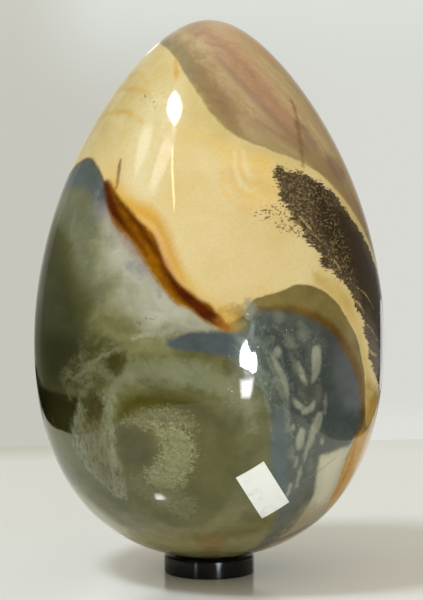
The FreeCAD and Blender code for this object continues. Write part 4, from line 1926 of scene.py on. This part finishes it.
@dataclass(frozen=True)
class Backdrop:
    """The even fill light, and the pale walls that the camera and polished surfaces see, by direction."""

    fill: float = 0.58
    fill_tint: Colour = (255, 243, 218)
    wall_left: Colour = (199, 198, 188)
    wall_right: Colour = (216, 217, 211)
    wall_high: Colour = (214, 218, 211)
    to_right: Fade = Fade("X", -0.07, 0.07)
    to_high: tuple[Fade, ...] = (Fade("Z", -0.01, 0.045), Fade("X", -0.085, -0.04))
    above: Fade = Fade("Z", 0.0, 0.06, 1.0, 1.07)
    foot: tuple[Fade, ...] = (
        Fade("Z", -0.14, -0.12, 1.0, 0.0),
        Fade("X", 0.0, 0.06),
        Fade("Z", -0.147, -0.142),
    )
    foot_gain: float = 0.07
    sides: Fade = Fade("aside", 0.1, 0.5, 0.9, 0.16)
    limb: tuple[Fade, ...] = (Fade("X", -0.61, -0.55), Fade("X", -0.2, -0.08, 0.3, 0.0))
    behind: Fade = Fade("Y", -0.1, 0.1)
    before: Fade = Fade("Y", -0.1, 0.1, 0.08, 0.0)
    under: Fade = Fade("Z", -0.1, -0.02, 0.5, 1.0)

    def read(self, paint: Painter, look: dict[str, Socket], *fades: Fade) -> Socket:
        """Multiply the fades at a look.

        Args:
            paint: the world's painter.
            look: the look's parts by axis.
            *fades: the fades.

        Returns:
            The socket of their product.
        """
        steps = [paint.step(look[fade.axis], fade.low, fade.high, fade.bottom, fade.top) for fade in fades]
        made = steps[0]
        for step in steps[1:]:
            made = paint.product(made, step)
        return made

    def wall(self, paint: Painter, look: dict[str, Socket], camera: Socket) -> Socket:
        """Give the wall's colour, which is paler high up where the camera sees it."""
        rightward = self.read(paint, look, self.to_right)
        tone = paint.mix(rightward, linear(self.wall_left), linear(self.wall_right))
        high = paint.product(self.read(paint, look, *self.to_high), camera)
        return paint.mix(high, tone, linear(self.wall_high))

    def room(self, paint: Painter, look: dict[str, Socket]) -> Socket:
        """Give the light of the room as polished surfaces show it."""
        wide = paint.math("ADD", self.read(paint, look, self.sides), self.read(paint, look, *self.limb))
        far = paint.product(wide, self.read(paint, look, self.behind))
        both = paint.math("ADD", far, self.read(paint, look, self.before))
        return paint.product(both, self.read(paint, look, self.under))

    def build(self) -> None:
        """Make the world."""
        world = bpy.data.worlds.new("studio")
        bpy.context.scene.world = world
        paint = Painter(world)
        ray = paint.node("ShaderNodeLightPath", {}).outputs
        camera, glossy = ray["Is Camera Ray"], ray["Is Glossy Ray"]
        seen = paint.math("MAXIMUM", paint.math("MAXIMUM", camera, glossy), ray["Is Transmission Ray"])
        towards = paint.node("ShaderNodeTexCoord", {}).outputs["Generated"]
        parts = paint.node("ShaderNodeSeparateXYZ", {"Vector": towards}).outputs
        look = {axis: parts[axis] for axis in "XYZ"}
        look["aside"] = paint.math("ABSOLUTE", look["X"])
        lit = paint.math("MULTIPLY_ADD", self.room(paint, look), glossy, paint.math("SUBTRACT", 1.0, glossy))
        lit = paint.product(lit, self.read(paint, look, self.above))
        foot = paint.math("MULTIPLY_ADD", self.read(paint, look, *self.foot), self.foot_gain, 1.0)
        feeds = {"Color": self.wall(paint, look, camera), "Strength": paint.product(lit, foot)}
        backdrop = paint.node("ShaderNodeBackground", feeds)
        light = paint.node("ShaderNodeBackground", {"Color": linear(self.fill_tint), "Strength": self.fill})
        both = paint.node("ShaderNodeMixShader", {0: seen, 1: light.outputs[0], 2: backdrop.outputs[0]})
        paint.node("ShaderNodeOutputWorld", {"Surface": both.outputs[0]})


@dataclass
class Studio:
    """The pale table, the backdrop, the lamps and what polished surfaces show of the room."""

    mirror: Mirror
    table_left: float = -137 * MM
    table_right: float = 137 * MM
    table_front: float = -170 * MM
    table_lift: float = -0.05 * MM
    table_edge: tuple[Place, ...] = (
        (-70, 27.2), (-60, 26), (-52, 25.6), (-45, 26), (-40, 26.8), (-34, 28), (-28, 29.4), (-20, 31),
        (-10, 32.6), (0, 33.4), (8, 33.7), (15, 33.5), (22, 32.4), (30, 30), (38, 27), (45, 25.2), (52, 24.4),
        (60, 24.4), (66, 25),
    )
    gap_edge: tuple[Place, ...] = (
        (-84, 37.6), (-78, 36.2), (-66, 32.9), (-58, 32.2), (-50, 31.6), (-38, 31.2),
    )
    gap_lift: float = 0.4 * MM
    back_edge: float = 248.8 * MM
    back_slope: float = 0.1153
    # Painted shade: the table top darkens in a band along its far edge, fainter on the right.
    edge_width: float = 45 * MM
    edge_end: float = 3 * MM
    edge_side: float = 60 * MM
    edge_faint: float = 0.15
    reach: float = 2.2
    table_tone: Colour = (236, 236, 232)
    edge_painted_shade: Colour = (208, 204, 190)
    table_clouds: Noise = Noise(60.0, 3.0, 0.5, seed=5.0)
    table_roughness: float = 0.12
    table_index: float = 1.4
    oval_middle: tuple[float, float] = (137 * MM, 36 * MM)
    oval_half: tuple[float, float] = (50 * MM, 26 * MM)
    oval_light: float = 1.1
    oval_corners: int = 32
    backdrop: Backdrop = field(default_factory=Backdrop)

    def lamps(self) -> tuple[Lamp, ...]:
        """The key lamp above on the left, and the window in front on the right."""
        return (
            Lamp("key", (-18, 84), 0.24, 0.73, (229, 243, 255)),
            Lamp("window", (12, 42), 0.50, 0.40, (238, 249, 255)),
        )

    def glows(self) -> tuple[Glow, ...]:
        """What the stone shows of the lamps, by where it shows them."""
        key = (
            (-20.7, 86.9), (-17.7, 86.2), (-15.3, 85.1), (-14.1, 83.9), (-14.1, 82.6), (-15, 81.6),
            (-16.7, 80.8), (-19.1, 81.6), (-21.2, 82.6), (-22.7, 83.8), (-23.1, 85.1), (-22.3, 86.2),
        )
        high = (
            (11.6, 43.8), (10.7, 43.2), (9.8, 42.3), (9.5, 41.2), (9.5, 40.2), (9.7, 39.5), (11, 39),
            (12.5, 38.7), (13.3, 38), (13.7, 38.2), (14.6, 38.6), (14.7, 39.9), (14.6, 41), (14.1, 41.6),
            (12.9, 41.5), (12.2, 42.3), (11.8, 43.1),
        )
        return (
            Glow("key_glow", key, 28.0, soft=0.25),
            Glow(
                "key_tail",
                ((-18, 81.2), (-15.5, 81.2), (-15.3, 80), (-16, 78.6), (-17.7, 80)),
                3.0, soft=0.7,
            ),
            Glow(
                "streak_left",
                (
                    (-33, 81.2), (-27.4, 81), (-26.2, 78.4), (-26.4, 75.8), (-28.2, 73.2), (-30.4, 71.6),
                    (-32.4, 74.8), (-33.4, 78.4),
                ),
                3.0, soft=0.45, tint=(248, 248, 255),
            ),
            Glow(
                "streak_middle",
                (
                    (-20.4, 79), (-15.4, 78.8), (-15.2, 76.4), (-17, 73.4), (-19, 70.8), (-21.4, 68.6),
                    (-23.4, 69.8), (-23, 72.9), (-21.8, 76),
                ),
                3.4, soft=0.4, tint=(248, 248, 255),
            ),
            Glow(
                "streak_thin",
                (
                    (-16.3, 77.2), (-15.5, 77.2), (-14.6, 73.9), (-13.4, 70.5), (-12.5, 67.9), (-12.2, 65.8),
                    (-12.6, 66), (-13.4, 68.2), (-14.3, 70.5), (-15.4, 73.9),
                ),
                9.0, soft=0.1, tint=(255, 246, 196),
            ),
            Glow("window_high", high, 150.0, soft=0.12, tint=(240, 248, 255)),
            Glow("window_middle", ((11.3, 38.4), (13.2, 38), (13.8, 37.2), (10.7, 37.1)), 4.0, soft=0.6),
            Glow(
                "front_wall",
                (
                    (-26, 34.4), (-12, 33.4), (0, 33.1), (12, 33.1), (22, 33.2), (26, 35), (22, 38.4),
                    (12, 40.6), (0, 41), (-14, 40.6), (-26, 38),
                ),
                0.3, soft=0.12, tint=(250, 252, 240),
            ),
            Glow(
                "right_wall",
                (
                    (40, 33.4), (47, 30.6), (54, 29.6), (62, 30), (70, 32), (74, 38), (70, 44), (60, 46.6),
                    (50, 46), (42, 41),
                ),
                0.3, soft=0.3, tint=(250, 252, 240),
            ),
            Glow(
                "window_halo",
                ((6, 41), (8, 44.6), (11.6, 46), (15, 44.6), (17, 41), (15.6, 37), (12, 35.6), (8, 37)),
                1.9, soft=0.9, tint=(226, 240, 255),
            ),
            Glow(
                "key_halo",
                ((-26, 85), (-21, 89.4), (-15.4, 88.6), (-11.6, 84), (-13.4, 79), (-18, 76.6), (-23.6, 79.4)),
                2.0, soft=0.9,
            ),
            Glow(
                "window_low",
                ((9.5, 36.9), (14, 37.3), (13.7, 36.6), (13.5, 35.1), (12.7, 33.6), (10, 33.6), (9.6, 35.2)),
                24.0, soft=0.55, distance=0.3,
            ),
            Glow(
                "limb_glare",
                ((-88, 93.2), (-76, 93.4), (-70, 94.8), (-74, 96), (-86, 95.2)),
                1.0, soft=0.5,
            ),
            Glow(
                "window_top",
                ((13, 47.4), (14.4, 47.4), (14.2, 45.9), (13.9, 44.5), (12.8, 43.4), (12.1, 44.4)),
                3.2, soft=0.7, tint=(226, 240, 255),
            ),
            Glow(
                "spot",
                ((-20.6, 16), (-18, 16), (-15.8, 14.9), (-16.8, 13.6), (-18.4, 13.8), (-20.8, 15)),
                12.0, soft=0.5, tint=(236, 242, 245), distance=0.03,
            ),
        )

    def shown(self, places: tuple[Place, ...]) -> list[Place]:
        """Points of the floor that the stone shows at some places on it."""
        points = []
        for place in places:
            point, towards = self.mirror.ray(place)
            point = point - towards * (point.z / towards.z)
            points.append((point.x, point.y))
        return points

    def card(self, name: str, corners: Sequence[Sequence[float]], strength: float) -> None:
        """Set up a flat card of even light that only polished surfaces show.

        Args:
            name: the card's name.
            corners: its corners.
            strength: how bright it is, where 1 is white and 0 black.
        """
        paint = Painter.material(name)
        light = paint.node("ShaderNodeEmission", {"Color": (1, 1, 1, 1), "Strength": strength})
        piece = add_card(name, corners)
        piece.data.materials.append(paint.finish(light))
        hide_from(piece, *UNSEEN)

    def floor_card(self) -> None:
        """Lay a black card over the floor on the left, where the stone shows the dark beside the table."""
        left = self.table_left
        far = self.shown(self.gap_edge)
        border = [*far, (left, far[-1][1]), (left, 2 * self.back_edge), (left, far[0][1])]
        self.card("gap_left", [(x, y, self.gap_lift) for x, y in border], 0.0)

    def wall_card(self) -> None:
        """Stand an oval card behind the table's right, a bright part of the wall that the stone shows."""
        (x, z), (wide, high) = self.oval_middle, self.oval_half
        angles = np.linspace(0, 2 * math.pi, self.oval_corners, endpoint=False)
        border = [(x + wide * math.cos(a), self.back_edge, z + high * math.sin(a)) for a in angles]
        self.card("wall_glow", border, self.oval_light)

    def table_material(self, name: str, one_sided: bool) -> bpy.types.Material:
        """Pale, slightly glossy table top, with painted shade that darkens it along its far edge.

        Args:
            name: the material's name.
            one_sided: whether it is clear from below, so that what lies under it mirrors the egg.

        Returns:
            The material.
        """
        paint = Painter.material(name)
        place = paint.node("ShaderNodeSeparateXYZ", {"Vector": paint.place()}).outputs
        # painted shade along the far edge, fainter towards the right
        behind = paint.math("MULTIPLY_ADD", place["X"], -self.back_slope, place["Y"])
        start, end = self.back_edge - self.edge_width, self.back_edge - self.edge_end
        edge = paint.step(behind, start / MM, end / MM)
        side = self.edge_side / MM
        edge = paint.product(edge, paint.step(place["X"], -side, side, 1.0, self.edge_faint))
        colour = paint.mix(edge, linear(self.table_tone), linear(self.edge_painted_shade))
        colour = paint.shade(colour, paint.noise(self.table_clouds), 0.98, 1.0)
        feeds = {"Base Color": colour, "Roughness": self.table_roughness, "IOR": self.table_index}
        shader = paint.node("ShaderNodeBsdfPrincipled", feeds)
        if one_sided:
            below = paint.node("ShaderNodeNewGeometry", {}).outputs["Backfacing"]
            clear = paint.node("ShaderNodeBsdfTransparent", {})
            feeds = {0: below, 1: shader.outputs[0], 2: clear.outputs[0]}
            shader = paint.node("ShaderNodeMixShader", feeds)
        return paint.finish(shader)

    def table(self) -> None:
        """Lay the table, and over it the part of its top that polished surfaces show."""
        far, left, right, front = self.reach, self.table_left, self.table_right, self.table_front
        back = {x: self.back_edge + self.back_slope * x for x in (-far, left, right, far)}
        whole = [(-far, front), (far, front), (far, back[far]), (-far, back[-far])]
        near = [(-far, -far), (far, -far), (far, front), (-far, front)]
        shown = [(left, back[left]), *self.shown(self.table_edge), (right, back[right])]
        spans = (
            ("table", whole, self.table_lift, ("glossy",)),
            ("table_front", near, self.table_lift, ("glossy", "diffuse", "shadow", "transmission")),
            ("table_shown", shown, 0.0, ("camera", "diffuse", "shadow", "transmission")),
        )
        for name, border, level, hidden in spans:
            piece = add_card(name, [(x, y, level) for x, y in border])
            piece.data.materials.append(self.table_material(name, name == "table_shown"))
            hide_from(piece, *hidden)

    def build(self) -> None:
        """Build the whole studio."""
        self.backdrop.build()
        self.table()
        self.floor_card()
        self.wall_card()
        for lamp in self.lamps():
            lamp.build(self.mirror)
        for glow in self.glows():
            glow.build(self.mirror)


def main() -> None:
    """Build every piece and the studio."""
    logging.basicConfig(level=logging.INFO, format="%(message)s")
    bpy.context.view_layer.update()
    bpy.context.scene.view_settings.view_transform = "Standard"
    low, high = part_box("stone_egg")
    outline = EggOutline(low[2], high[2] - low[2], high[0] - low[0])
    LOG.info("egg %.1f mm high and %.1f mm wide", outline.height / MM, outline.width / MM)
    ring_low, ring_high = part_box("ring_stand")
    pieces = (
        StoneEgg(outline),
        PaperLabel(outline),
        RingStand((ring_high[0] - ring_low[0]) / 2, ring_high[2]),
    )
    for piece in pieces:
        made = piece.build()
        LOG.info("%s: %d faces", made.name, len(made.data.polygons))
    viewpoint = Viewpoint()
    viewpoint.build()
    Studio(Mirror(outline, viewpoint.place())).build()


if __name__ == "__main__":
    main()
